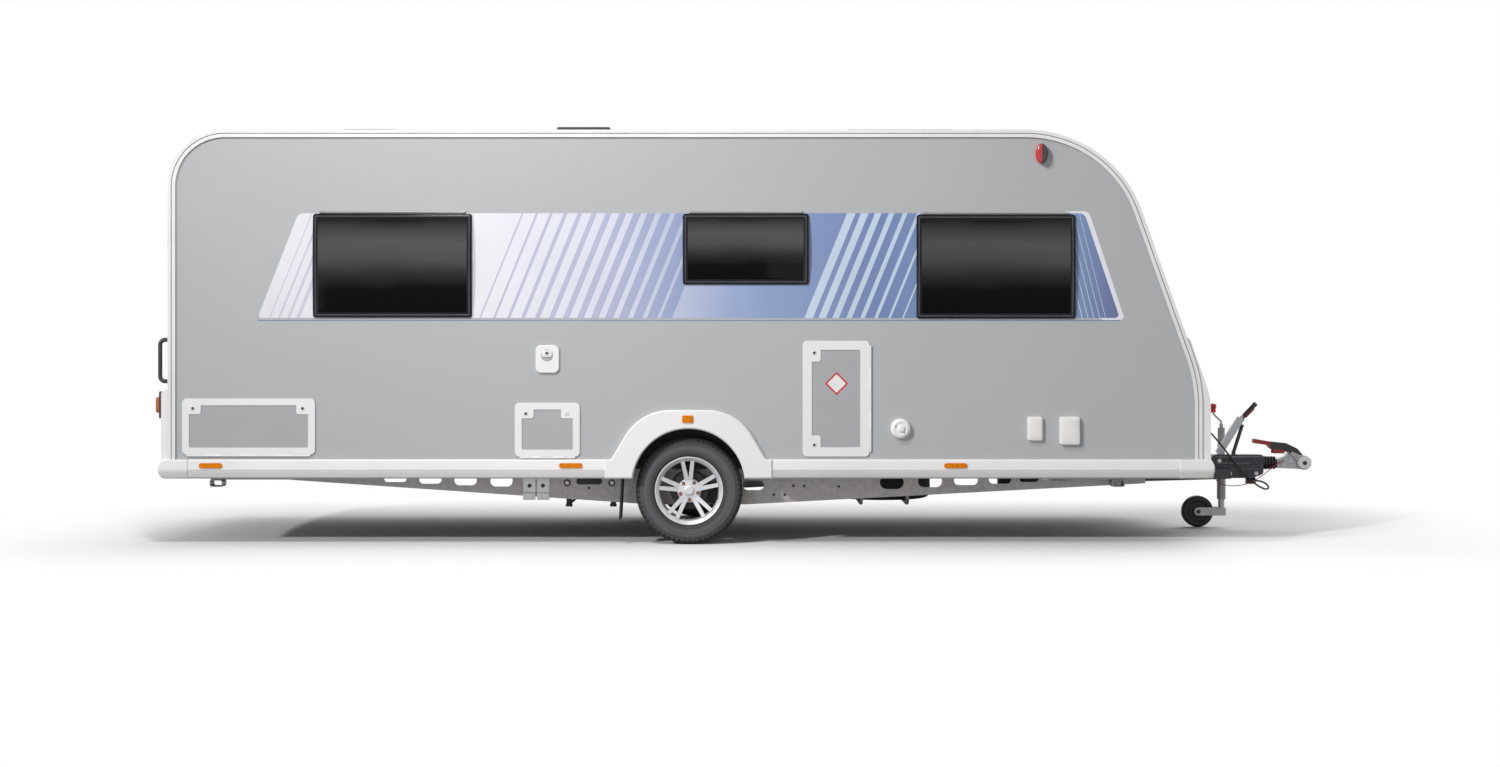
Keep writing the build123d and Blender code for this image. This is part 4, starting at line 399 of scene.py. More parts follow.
def film(name, corners, low_y, thick, material, radius=0.0):
    """Printed film on both walls, cut out at the windows and on the left at the entrance door"""
    for side, holes in (("right", WINDOW_HOLES), ("left", [WINDOW_HOLES[0], WINDOW_HOLES[2], DOOR_HOLE])):
        side_plate(f"{name}_{side}", corners, low_y, thick, material, radius, sides=side, holes=holes)


band_length = BAND_FRONT - BAND_REAR
BAND_TONES = [
    (0.0, (0.76, 0.755, 0.80)), (0.25, (0.80, 0.80, 0.84)), (0.42, (0.68, 0.68, 0.78)),
    (0.55, (0.30, 0.38, 0.60)), (0.72, (0.15, 0.22, 0.44)), (0.93, (0.22, 0.34, 0.56)),
    (1.0, (0.12, 0.14, 0.32)),
]
BAR_TONES = [
    (0.0, (0.62, 0.61, 0.70)), (0.40, (0.44, 0.46, 0.62)), (0.54, (0.20, 0.28, 0.52)),
    (0.64, (0.56, 0.66, 0.80)), (1.0, (0.48, 0.58, 0.76)),
]
band_stops, bar_stops = [
    [(BAND_REAR + X_SHIFT + share * band_length, colour) for share, colour in tones]
    for tones in (BAND_TONES, BAR_TONES)]
film_ends = (BAND_REAR + X_SHIFT, BAND_FRONT + X_SHIFT)
band_film = graded("band_film", "X", band_stops, *film_ends, 0.3, mottle=0.03, coat=0.3)
bar_film = graded("bar_film", "X", bar_stops, *film_ends, 0.3, mottle=0.03, coat=0.3)
edge_film = finish("edge_film", (0.80, 0.79, 0.85), 0.3, mottle=0.03, coat=0.3)
line_film = finish("line_film", (0.16, 0.22, 0.44), 0.3, mottle=0.05, coat=0.3)
BAND_CORNERS = [(BAND_REAR, BAND_LOW), (BAND_FRONT, BAND_LOW), (2.409, BAND_HIGH), (-2.376, BAND_HIGH)]
EDGE_CORNERS = [
    (2.50, BAND_LOW - EDGE_OVER), (2.656, BAND_LOW - EDGE_OVER), (2.436, BAND_HIGH + EDGE_OVER),
    (2.28, BAND_HIGH + EDGE_OVER)]
film("livery_edge", EDGE_CORNERS, WALL_Y, FILM / 2, edge_film, BAND_CORNER)
film("livery_band", BAND_CORNERS, WALL_Y, FILM, band_film, BAND_CORNER)
# first foot x, number of bars, pitch, first width, growth of width, lean
BAR_GROUPS = [
    (-2.556, 4, 0.055, 0.008, 0.005, BAR_LEAN),
    (-1.276, 14, 0.085, 0.010, 0.0045, BAR_LEAN),
    (0.704, 8, 0.085, 0.052, -0.006, BAR_LEAN),
    (2.392, 5, 0.036, 0.007, -0.0008, -0.16),
]
for group, (first, count, pitch, width, growth, lean) in enumerate(BAR_GROUPS):
    for index in range(count):
        foot = first + index * pitch
        wide = width + index * growth
        corners = [
            (foot, BAND_LOW), (foot + wide, BAND_LOW), (foot + wide + lean, BAND_HIGH),
            (foot + lean, BAND_HIGH)]
        film(f"livery_bar_{group}_{index}", corners, WALL_Y + FILM, FILM / 2, bar_film)
film("livery_line", box_corners(BAND_REAR, BAND_FRONT + 0.004, LINE_LOW, LINE_HIGH), WALL_Y, FILM, line_film)

# Window panes. Each is a double acrylic pane, dark tinted, blown to a bulge between its top and
# bottom edge, with a black border and a bead printed round it; a coated rail above hinges it.
# A lighter band painted across each pane above its middle is a painted reflection.

PANE_EDGE = 0.010
PANE_CROWN = 0.014
PANE_CORNER = 0.016
PANE_INNER_CORNER = 0.003
PANE_SEAT = 0.0004
PANE_CUTS = 16
PANE_ARC = 6
# inset of each ring from the rim, its rise, material outside it: 1 border, 2 bead
PANE_RINGS = [
    (0.0, -0.002, 1), (0.005, 0.0, 1), (0.013, 0.0, 1), (0.016, 0.002, 2), (0.019, 0.0, 2),
    (0.027, -0.001, 1), (0.031, -0.002, 1)]


def tinted(name):
    """Dark acrylic with a painted reflection: a lighter band above its middle, black towards its lower edge
    """
    material = bpy.data.materials.new(name)
    material.use_nodes = True
    tree = material.node_tree
    shader = tree.nodes["Principled BSDF"]
    shader.inputs["Roughness"].default_value = 0.06
    shader.inputs["Specular IOR Level"].default_value = 0.06
    shader.inputs["Alpha"].default_value = 0.93
    place = tree.nodes.new("ShaderNodeUVMap").outputs["UV"]
    # Noise wobbles the edges of the painted reflection band
    reflection_wobble = node(tree, "TexNoise", Vector=place, Scale=2.5)
    split = node(tree, "SeparateXYZ", Vector=place)
    drift = maths(tree, "MULTIPLY", maths(tree, "SUBTRACT", reflection_wobble.outputs["Fac"], 0.5), 0.12)
    ramp = node(tree, "ValToRGB", Fac=maths(tree, "ADD", split.outputs["Y"], drift))
    ramp.color_ramp.elements.remove(ramp.color_ramp.elements[1])
    # Tone up the pane, a painted reflection: black low down, lighter above the middle, dark again at the top
    stops = [
        (0.0, 0.001), (0.28, 0.003), (0.42, 0.028), (0.56, 0.075), (0.72, 0.09), (0.84, 0.056),
        (0.94, 0.013), (1.0, 0.006)]
    for index, (position, tone) in enumerate(stops):
        stop = ramp.color_ramp.elements.new(position) if index else ramp.color_ramp.elements[0]
        stop.position = position
        stop.color = (tone, tone * 0.95, tone * 0.94, 1)
    tree.links.new(ramp.outputs["Color"], shader.inputs["Base Color"])
    return material


pane_tint_painted_reflection = tinted("pane_tint_painted_reflection")
pane_border = finish("pane_border", (0.013, 0.012, 0.016), 0.14, mottle=0.2, patch=8)
pane_bead = finish("pane_bead", (0.09, 0.09, 0.105), 0.2, mottle=0.15, patch=10)
for material in (pane_border, pane_bead):
    material.node_tree.nodes["Principled BSDF"].inputs["Specular IOR Level"].default_value = 0.12


def acrylic_pane(name, side, reach, wall_y, edge, crown, body):
    """Pane with its rings, bulged from its top to its bottom edge, with a flat back on the wall"""
    low_x, high_x, low_z, high_z = reach
    bm = bmesh.new()
    uv = bm.loops.layers.uv.new("UVMap")
    outer = []
    for inset, rise, index in PANE_RINGS:
        radius = max(PANE_CORNER - inset, PANE_INNER_CORNER)
        reduced = (
            low_x + inset + radius, high_x - inset - radius, low_z + inset + radius,
            high_z - inset - radius)
        inner = []
        for corner, (x, z) in enumerate(box_corners(*reduced)):
            for step in range(PANE_ARC + 1):
                turn = math.pi * (1 + corner / 2 + step / PANE_ARC / 2)
                inner.append(
                    bm.verts.new((x + X_SHIFT + radius * math.cos(turn), rise, z + radius * math.sin(turn))))
        for place in range(len(outer)):
            ring = bm.faces.new([outer[place - 1], outer[place], inner[place], inner[place - 1]])
            ring.material_index = index
        outer = inner
    bm.faces.new(outer)
    for step in range(1, PANE_CUTS):
        bmesh.ops.bisect_plane(
            bm, geom=bm.verts[:] + bm.edges[:] + bm.faces[:],
            plane_co=(0, 0, low_z + (high_z - low_z) * step / PANE_CUTS), plane_no=(0, 0, 1))
    for vert in bm.verts:
        level = (2 * vert.co.z - low_z - high_z) / (high_z - low_z)
        vert.co.y = side * (wall_y + edge + crown * (1 - level**2) + vert.co.y)
    for item in bm.faces:
        for loop in item.loops:
            across = (loop.vert.co.x - X_SHIFT - low_x) / (high_x - low_x)
            loop[uv].uv = (across, (loop.vert.co.z - low_z) / (high_z - low_z))
    grown = bmesh.ops.extrude_face_region(bm, geom=bm.faces[:])
    for item in grown["geom"]:
        if isinstance(item, bmesh.types.BMVert):
            item.co.y = side * (wall_y + PANE_SEAT)
    bmesh.ops.recalc_face_normals(bm, faces=bm.faces[:])
    pane = new_object(name, bm, pane_tint_painted_reflection)
    pane.data.materials.append(pane_border)
    pane.data.materials.append(pane_bead)
    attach(pane, body)
    return pane


HINGE_INSET = 0.038
HINGE_GAP = 0.0003
HINGE_HIGH = 0.014
hinge_coat = finish("hinge_coat", (0.36, 0.365, 0.375), 0.4, mottle=0.04, patch=6)
SIDES = ((-1, "right"), (1, "left"))
side_panes = []
for side, word in SIDES:
    for reach in PANES if side == -1 else (PANES[0], PANES[2]):
        name = f"side_pane_{len(side_panes)}"
        side_panes.append(acrylic_pane(name, side, reach, WALL_Y, PANE_EDGE, PANE_CROWN, "caravan"))
        low_x, high_x, low_z, high_z = reach
        strip = box_corners(
            low_x + HINGE_INSET, high_x - HINGE_INSET, high_z + HINGE_GAP, high_z + HINGE_HIGH)
        side_plate(
            f"hinge_rail_{len(side_panes)}", strip, WALL_Y + HINGE_GAP, HINGE_HIGH - HINGE_GAP, hinge_coat,
            0.002, 0.0045, word)
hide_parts("side_windows")

# Door window, front windows and rooflights. The flat pane is bonded into the entrance door, three
# panes follow the bow of the front, and smoked domes on white flanges close the openings in the roof.

DOOR_PANE = (0.655, 1.090, 1.440, 2.120)
DOOR_FACE = 1.1990
DOOR_PANE_EDGE = 0.0080
DOOR_PANE_CROWN = 0.0003
# The door pane has the same painted reflection as the side panes
door_pane = acrylic_pane(
    "door_pane", 1, DOOR_PANE, DOOR_FACE, DOOR_PANE_EDGE, DOOR_PANE_CROWN, "entrance_door")
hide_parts("door_window")
SMOKE = (0.016, 0.016, 0.018)
FRONT_LOW, FRONT_HIGH = 1.46, 2.09
# The front panes go from black at their foot to dark grey at their top: a painted reflection
FRONT_REFLECTION_TONES = [
    (FRONT_LOW, (0.004, 0.004, 0.005)), (1.75, (0.02, 0.02, 0.022)), (FRONT_HIGH, (0.06, 0.06, 0.065))]
DOME_LOW, DOME_HIGH = 2.50, 2.63
DOME_TONES = [(DOME_LOW, WHITE), (2.550, SMOKE), (2.60, (0.04, 0.04, 0.043))]
front_tint_painted_reflection = graded("front_tint_painted_reflection", "Z", FRONT_REFLECTION_TONES, FRONT_LOW, FRONT_HIGH, 0.07, mottle=0.1)
dome_smoke = graded("dome_smoke", "Z", DOME_TONES, DOME_LOW, DOME_HIGH, 0.12, sharp=True, mottle=0.1)
dress(front_tint_painted_reflection, "front_windows")
dress(dome_smoke, "rooflights")

# Window liners and fridge vents. White plastic frames, injection moulded, line each opening from
# inside; two louvred vents of the same plastic are screwed over the fridge in the left wall.

liner_white = finish("liner_white", (0.8, 0.79, 0.78), 0.4, mottle=0.03, patch=6, grain=0.05)
vent_white = finish("vent_white", (0.76, 0.755, 0.745), 0.45, mottle=0.04, patch=8, grain=0.08)
dress(liner_white, "opening_frames")
dress(vent_white, "fridge_vents")

# Curtains. Woven cloth hangs in gathered folds from the liner at both sides of each side window,
# a hand's breadth behind the pane.

CURTAIN_WIDE = 0.14
CURTAIN_FOLDS = 7
CURTAIN_FOLD = 0.018
CURTAIN_GATHER = 0.35
CURTAIN_BEHIND = 0.066
CURTAIN_DROP = 0.012
CURTAIN_GAP = 0.005
CURTAIN_CUTS = (56, 8)
curtain_cloth = finish(
    "curtain_cloth", (0.58, 0.55, 0.5), 0.9, mottle=0.1, patch=60, grain=0.4, grain_size=0.0015)
curtain_count = 0
for side in (-1, 1):
    for low_x, high_x, low_z, high_z in PANES if side == -1 else (PANES[0], PANES[2]):
        for start in (low_x + CURTAIN_GAP, high_x - CURTAIN_GAP - CURTAIN_WIDE):
            bm = bmesh.new()
            bmesh.ops.create_grid(bm, x_segments=CURTAIN_CUTS[0], y_segments=CURTAIN_CUTS[1], size=0.5)
            for vert in bm.verts:
                across = vert.co.x + 0.5
                up = vert.co.y + 0.5
                fold = CURTAIN_FOLD * math.sin(across * CURTAIN_FOLDS * 2 * math.pi)
                fold *= 1 - CURTAIN_GATHER * up
                vert.co = at(
                    start + CURTAIN_WIDE * across, side * (WALL_Y - CURTAIN_BEHIND + fold),
                    low_z - CURTAIN_DROP + (high_z - low_z) * up)
            bmesh.ops.recalc_face_normals(bm, faces=bm.faces[:])
            curtain = new_object(f"curtain_{curtain_count}", bm, curtain_cloth)
            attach(curtain, "caravan")
            if curtain_count == 0:
                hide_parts("curtains")
            curtain_count += 1

# Hatches. The doors of the gas locker, the rear locker and the service space are white
# moulded frames round a sunk grey panel, closed by small round key locks in a corner pad;
# a red-edged film diamond sticks to the gas door.

LIP_Y = 1.2030
SUNK_Y = 1.1990
PANEL_GREY_AND_EDGE_SHADE = (0.40, 0.405, 0.415)
LEAF_IN, LEAF_OUT = 1.15, 1.25
# Below the lip's face all is grey: the sunk panel is grey of its own, the grey on the lip's side faces is
# painted shade
LEAF_TONES_WITH_EDGE_SHADE = [(LEAF_IN, WHITE), (1.1955, PANEL_GREY_AND_EDGE_SHADE), (1.2014, WHITE)]
leaf_coat_with_edge_shade = graded(
    "leaf_coat_with_edge_shade", "Y", LEAF_TONES_WITH_EDGE_SHADE, LEAF_IN, LEAF_OUT, 0.35, sharp=True, mottle=0.02, patch=5, grain=0.04,
    coat=0.15)
dress(leaf_coat_with_edge_shade, "locker_door", "service_door", "gas_door")


def lathe(profile, steps=32):
    """Body turned on a lathe from radius and height along its axis"""
    bm = bmesh.new()
    verts = [bm.verts.new((radius, 0, height)) for radius, height in profile]
    edges = [bm.edges.new(pair) for pair in zip(verts, verts[1:])]
    bmesh.ops.spin(
        bm, geom=verts + edges, cent=(0, 0, 0), axis=(0, 0, 1), angle=2 * math.pi, steps=steps,
        use_merge=True)
    bmesh.ops.remove_doubles(bm, verts=bm.verts[:], dist=1e-6)
    bmesh.ops.recalc_face_normals(bm, faces=bm.faces[:])
    return bm


def stood(bm, place, way):
    """Moves a turned body from the origin to its place, with its axis along a direction"""
    turn = Vector(way).to_track_quat("Z", "Y").to_matrix().to_4x4()
    bmesh.ops.transform(bm, matrix=Matrix.Translation(at(*place)) @ turn, verts=bm.verts[:])
    return bm


def fitted(name, bm, material, body):
    """Finished piece on its body"""
    piece = new_object(name, bm, material)
    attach(piece, body)
    return piece


OUT_RIGHT = (0, -1, 0)
BEZEL = [
    (0.0, 0.0), (0.0145, 0.0), (0.0145, 0.0012), (0.0125, 0.0026), (0.0095, 0.0026), (0.0085, 0.0014),
    (0.0, 0.0014)]
BARREL = [(0.0, 0.0012), (0.0078, 0.0012), (0.0078, 0.0028), (0.0066, 0.0034), (0.0, 0.0034)]
lock_white = finish("lock_white", (0.74, 0.735, 0.73), 0.35, mottle=0.04, patch=30)
lock_dark = finish("lock_dark", (0.035, 0.034, 0.036), 0.35, mottle=0.3, patch=60)
# body, x, z, face that carries it, keyed
LOCKS = [
    ("gas_door", 0.764, 1.172, LIP_Y, True),
    ("gas_door", 0.764, 0.612, LIP_Y, True),
    ("service_door", -0.992, 0.802, LIP_Y, True),
    ("service_door", -0.742, 0.802, LIP_Y, False),
    ("locker_door", -3.018, 0.834, LIP_Y, True),
    ("locker_door", -2.350, 0.834, LIP_Y, True),
    ("caravan", -0.862, 1.170, 1.2130, True),
]
for index, (body, x, z, face, keyed) in enumerate(LOCKS):
    fitted(
        f"lock_bezel_{index}", stood(lathe(BEZEL), (x, -face, z), OUT_RIGHT), lock_white, body)
    barrel = stood(lathe(BARREL), (x, -face, z), OUT_RIGHT)
    fitted(
        f"lock_barrel_{index}", barrel, lock_dark if keyed else lock_white, body)

SIGN_X = 0.900
SIGN_Z = 0.985
SIGN_THICK = 0.0004
SIGN_CORNER = 0.006
sign_red = finish("sign_red", (0.56, 0.012, 0.018), 0.35, mottle=0.08, patch=20)
sign_white = finish("sign_white", (0.82, 0.81, 0.805), 0.35, mottle=0.03, patch=20)
for name, half, low, material in (
        ("sign_edge", 0.071, SUNK_Y, sign_red), ("sign_face", 0.057, SUNK_Y + SIGN_THICK, sign_white)):
    corners = [
        (SIGN_X - half, SIGN_Z), (SIGN_X, SIGN_Z - half), (SIGN_X + half, SIGN_Z), (SIGN_X, SIGN_Z + half)]
    side_plate(
        name, corners, low, SIGN_THICK, material, SIGN_CORNER, sides="right", body="gas_door")

# Entrance door. One white moulded leaf with a sunk grey panel stands in the left wall; a dark
# handle plate with a lever and a key lock is bolted through its rear edge.

# Same coat as the hatches, with the painted shade on the sides of the lip
dress(leaf_coat_with_edge_shade, "entrance_door")
HANDLE_X = 0.598
HANDLE_Z = 1.060
handle_plastic = finish("handle_plastic", (0.022, 0.022, 0.024), 0.38, mottle=0.2, patch=15, grain=0.15)
plate_corners = box_corners(HANDLE_X - 0.024, HANDLE_X + 0.030, HANDLE_Z - 0.085, HANDLE_Z + 0.085)
lever_corners = box_corners(HANDLE_X - 0.012, HANDLE_X + 0.016, HANDLE_Z - 0.030, HANDLE_Z + 0.070)
side_plate(
    "handle_plate", plate_corners, LIP_Y, 0.005, handle_plastic, 0.022, 0.002, "left", "entrance_door")
side_plate(
    "handle_lever", lever_corners, LIP_Y + 0.005, 0.010, handle_plastic, 0.012, 0.004, "left",
    "entrance_door")
door_lock = stood(lathe(BARREL), (HANDLE_X + 0.002, LIP_Y + 0.004, HANDLE_Z - 0.057), (0, 1, 0))
fitted("handle_lock", door_lock, lock_white, "entrance_door")

# Wall fittings. A keyed flap, the heater flue and two hooded boxes are moulded in white plastic and
# screwed to the right-hand wall; under the flap's lock a grey ring and a grey sheet are painted shade of its
# finger dish.

fitting_white = finish("fitting_white", (0.84, 0.83, 0.815), 0.38, mottle=0.03, patch=12, grain=0.06)
flap_dish_painted_shade = finish("flap_dish_painted_shade", (0.42, 0.41, 0.40), 0.5, mottle=0.1, patch=30)
dress(fitting_white, "service_fittings")
FLAP_Y = 1.2090
DISH_X, DISH_Z = -0.862, 1.158
DISH_RING = [
    (0.0315, 0.0), (0.0355, 0.0), (0.0355, 0.0022), (0.0335, 0.0034), (0.0315, 0.0022), (0.0315, 0.0)]
# Grey ring and grey sheet: painted shade of the finger dish under the flap's lock
fitted(
    "flap_dish_ring", stood(lathe(DISH_RING, 48), (DISH_X, -FLAP_Y, DISH_Z), OUT_RIGHT), flap_dish_painted_shade,
    "caravan")
side_plate(
    "flap_dish", box_corners(-0.893, -0.831, 1.128, 1.150), FLAP_Y, 0.0004, flap_dish_painted_shade, 0.010,
    sides="right")
side_plate(
    "flap_tab", box_corners(-0.892, -0.832, 1.146, 1.186), FLAP_Y, 0.0045, fitting_white, 0.012, 0.002,
    "right")
FLUE_X, FLUE_Z, FLUE_Y = 1.289, 0.711, 1.229
FLUE_RING = [
    (0.036, -0.004), (0.046, -0.004), (0.046, 0.001), (0.043, 0.0035), (0.039, 0.0035), (0.036, 0.001),
    (0.036, -0.004)]
FLUE_KNOB = [(0.0, 0.0), (0.022, 0.0), (0.022, 0.005), (0.018, 0.0085), (0.008, 0.0095), (0.0, 0.0095)]
SCREW = [(0.0, 0.0), (0.0048, 0.0), (0.0044, 0.0014), (0.0022, 0.0022), (0.0, 0.0022)]
fitted(
    "flue_ring", stood(lathe(FLUE_RING, 48), (FLUE_X, -FLUE_Y, FLUE_Z), OUT_RIGHT), fitting_white,
    "caravan")
fitted(
    "flue_middle", stood(lathe(FLUE_KNOB), (FLUE_X + 0.004, -FLUE_Y, FLUE_Z), OUT_RIGHT), fitting_white,
    "caravan")
for index, (x, z) in enumerate(((-0.030, 0.014), (0.022, -0.026))):
    screw = stood(lathe(SCREW, 16), (FLUE_X + x, -FLUE_Y, FLUE_Z + z), OUT_RIGHT)
    fitted(f"flue_screw_{index}", screw, lock_dark, "caravan")
# low x, high x, low z, high z, face
LIDS = [(2.071, 2.142, 0.650, 0.774, 1.2190), (2.268, 2.365, 0.626, 0.774, 1.2250)]
for index, (*reach, face) in enumerate(LIDS):
    side_plate(
        f"box_lid_{index}", box_corners(*reach), face, 0.003, fitting_white, 0.010, 0.0016, "right")

# Lamps and reflectors. Dark plastic housings carry the tail lamps on the bumper and the oval
# marker lamps high on the walls; the amber reflectors are pressed plates on the skirts.

RED = (0.52, 0.012, 0.012)
AMBER = (0.74, 0.20, 0.0)
TAIL_AMBER = (0.50, 0.105, 0.012)
lamp_plastic = finish("lamp_plastic", (0.04, 0.04, 0.043), 0.4, mottle=0.2, patch=20, grain=0.1)
LENS_IN, LENS_OUT = 0.9, 1.3
LENS_TONES = [(LENS_IN, RED), (1.09, TAIL_AMBER), (1.1945, RED)]
lens_plastic = graded(
    "lens_plastic", "Y", LENS_TONES, LENS_IN, LENS_OUT, 0.14, sharp=True, mottle=0.06, patch=40, coat=0.5)
reflector_amber = finish("reflector_amber", AMBER, 0.3, mottle=0.2, patch=55, grain=0.35, grain_size=0.004)
reflector_amber.node_tree.nodes["Principled BSDF"].inputs["Specular IOR Level"].default_value = 0.15
dress(lamp_plastic, "lamp_housings")
dress(lens_plastic, "lamp_lenses")
dress(reflector_amber, "amber_markers")

# Grab handles. Black coated steel tubes, bent to a bow, are bolted to the rear corners for turning
# the caravan by hand.

grab_coat = finish("grab_coat", (0.026, 0.027, 0.034), 0.35, mottle=0.2, patch=14, grain=0.12)
dress(grab_coat, "grab_handles")

# Chassis. Folded rails with long holes, cross members and brackets are hot-dip galvanised; the
# jacking plates are brighter zinc, and bolts on washers hold the pieces together. The dark of the
# bolt heads on the rails, of the discs in the jacking holes and of the sheets in the long holes is painted
# shade.

galvanised = finish(
    "galvanised", (0.58, 0.55, 0.54), 0.5, metal=0.25, mottle=0.14, patch=30, grain=0.12, grain_size=0.006)
bright_zinc = finish(
    "bright_zinc", (0.52, 0.53, 0.55), 0.38, metal=0.65, mottle=0.12, patch=30, grain=0.1, grain_size=0.004)
dress(galvanised, "chassis_rails", "cross_members", "spare_carrier", "axle_beam")
dress(bright_zinc, "chassis_brackets")
bolt_dark_and_hole_shade = finish("bolt_dark_and_hole_shade", (0.06, 0.058, 0.056), 0.5, metal=0.5, mottle=0.3, patch=60)


WASHER_WIDE = 1.6
WASHER_HIGH = 0.3
HEAD_TAPER = 0.93


def bolts(name, places, way, radius, height, material, body="caravan"):
    """Hexagon heads on round washers, all in one mesh"""
    bm = bmesh.new()
    turn = Vector(way).to_track_quat("Z", "Y").to_matrix().to_4x4()
    for place in places:
        for steps, wide, low, high in (
                (24, WASHER_WIDE * radius, 0.0, WASHER_HIGH * height),
                (6, radius, WASHER_HIGH * height, height)):
            seat = Matrix.Translation(at(*place)) @ turn @ Matrix.Translation((0, 0, (low + high) / 2))
            bmesh.ops.create_cone(
                bm, cap_ends=True, segments=steps, radius1=wide, radius2=HEAD_TAPER * wide,
                depth=high - low, matrix=seat)
    bmesh.ops.recalc_face_normals(bm, faces=bm.faces[:])
    return fitted(name, bm, material, body)


RAIL_Y = 0.830
RING_WASHER = [(0.0, 0.0), (0.022, 0.0), (0.022, 0.003), (0.017, 0.004), (0.013, 0.002), (0.0, 0.002)]
# x, z
RAIL_RINGS = [(-0.773, 0.357), (-0.493, 0.357)]
# Dark bolt heads sit where the rails show dark holes; their dark is painted shade
RAIL_BOLTS = [
    (-0.636, 0.325), (-0.430, 0.346), (0.523, 0.283), (0.591, 0.283), (0.645, 0.338), (0.712, 0.338),
    (0.930, 0.334)]
for side, word in SIDES:
    for index, (x, z) in enumerate(RAIL_RINGS):
        washer = stood(lathe(RING_WASHER), (x, side * RAIL_Y, z), (0, side, 0))
        fitted(f"rail_washer_{word}_{index}", washer, bolt_dark_and_hole_shade, "caravan")
    bolts(
        f"rail_ring_bolts_{word}", [(x, side * (RAIL_Y + 0.002), z) for x, z in RAIL_RINGS], (0, side, 0),
        0.0075, 0.007, bright_zinc)
    bolts(
        f"rail_bolts_{word}", [(x, side * RAIL_Y, z) for x, z in RAIL_BOLTS], (0, side, 0), 0.0055, 0.005,
        bolt_dark_and_hole_shade)

SLOT_CORNERS = box_corners(-0.716, -0.554, 0.347, 0.387)
# Dark discs in the jacking holes of the rails are painted shade
HOLE_SHADE_DISC = [(0.0, 0.0), (0.0128, 0.0), (0.0128, 0.0004), (0.0, 0.0004)]
JACK_HOLES = [(x, side) for x in (-1.008, -0.924) for side in (-1, 1)]
JACK_HOLE_Z = 0.340
for index, (x, side) in enumerate(JACK_HOLES):
    hole = stood(lathe(HOLE_SHADE_DISC), (x, side * RAIL_Y, JACK_HOLE_Z), (0, side, 0))
    fitted(f"jack_hole_shade_{index}", hole, bolt_dark_and_hole_shade, "caravan")
# Dark sheets close the long holes in the rails: painted shade seen through the holes
slot_painted_shade = finish("slot_painted_shade", (0.02, 0.02, 0.022), 0.5, mottle=0.2, patch=30)
side_plate(
    "rail_slot_shade", SLOT_CORNERS, RAIL_Y - 0.006, 0.004, slot_painted_shade, 0.019, 0.001)

# Corner steadies. Legs pressed from galvanised sheet fold up under the floor on steel pins; a loop
# of round bar is welded to the end of each as a foot.

steady_zinc = finish(
    "steady_zinc", (0.40, 0.385, 0.375), 0.45, metal=0.6, mottle=0.15, patch=25, grain=0.12,
    grain_size=0.005)
dress(steady_zinc, "steady_rear_right", "steady_rear_left", "steady_front_right", "steady_front_left")

# Tyres. Radial road tyres with a ringed sidewall, a ribbed shoulder and two pairs of grooves in the
# tread; short blocks are moulded between the shoulder cuts.

AXLE_HEIGHT = 0.327
WHEEL_Y = 1.050
TYRE_STEPS = 180
# radius, distance from the middle of the tread
TYRE_HALF = [
    (0.1925, 0.0755), (0.2050, 0.0765), (0.2120, 0.0790), (0.2150, 0.0865), (0.2220, 0.0912),
    (0.2265, 0.0922), (0.2290, 0.0908), (0.2380, 0.0938), (0.2560, 0.0966), (0.2670, 0.0972),
    (0.2700, 0.0956), (0.2735, 0.0966), (0.2860, 0.0952), (0.2960, 0.0926), (0.2990, 0.0900),
    (0.3020, 0.0912), (0.3080, 0.0886), (0.3150, 0.0846), (0.3210, 0.0780), (0.3245, 0.0700),
    (0.3262, 0.0600), (0.3268, 0.0480), (0.3195, 0.0465), (0.3195, 0.0395), (0.3269, 0.0380),
    (0.3270, 0.0150), (0.3197, 0.0138), (0.3197, 0.0072), (0.3270, 0.0060),
]
TYRE_SECTION = TYRE_HALF + [(radius, -width) for radius, width in reversed(TYRE_HALF)] + TYRE_HALF[:1]
TYRE_LOW, TYRE_HIGH = 0.19, 0.33
# Darker at the bead, the ring and the shoulder, lighter mid-sidewall: painted light and shade of the curved
# sidewall
TYRE_SHADE_TONES = [
    (TYRE_LOW, (0.030, 0.030, 0.032)), (0.228, (0.045, 0.044, 0.047)), (0.245, (0.085, 0.083, 0.088)),
    (0.272, (0.105, 0.102, 0.108)), (0.288, (0.060, 0.059, 0.063)), (0.298, (0.085, 0.083, 0.086)),
    (0.312, (0.034, 0.033, 0.035)), (0.327, (0.045, 0.044, 0.045)),
]
tyre_rubber = graded(
    "tyre_rubber", "R", TYRE_SHADE_TONES, TYRE_LOW, TYRE_HIGH, 0.72, centre=(0, AXLE_HEIGHT), mottle=0.12, patch=18,
    grain=0.3, grain_size=0.003)
SHOULDER_RADIUS = 0.3
SHOULDER_OUT = 0.049
BLOCK_PITCH = 3
CUT_RIM = 0.0006
CUT_DEPTH = 0.0030
for side, word in SIDES:
    bm = lathe(TYRE_SECTION, TYRE_STEPS)
    cuts = []
    for item in bm.faces:
        middle = item.calc_center_median()
        turn = math.atan2(middle.y, middle.x) / (2 * math.pi) * TYRE_STEPS
        shoulder = Vector((middle.x, middle.y)).length > SHOULDER_RADIUS and abs(middle.z) > SHOULDER_OUT
        if shoulder and math.floor(turn) % BLOCK_PITCH == 0:
            cuts.append(item)
    bmesh.ops.inset_individual(bm, faces=cuts, thickness=CUT_RIM, depth=-CUT_DEPTH)
    tyre = fitted(
        f"road_tyre_{word}", stood(bm, (0, side * WHEEL_Y, AXLE_HEIGHT), (0, side, 0)), tyre_rubber,
        f"wheel_{word}")
    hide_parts(f"tyre_{word}")

# Wheels. Cast alloy wheels with five pairs of spokes, silver lacquered, are held by five bronze
# coloured bolts; a plain domed cap closes the hub and the iron brake drum shows between the spokes.

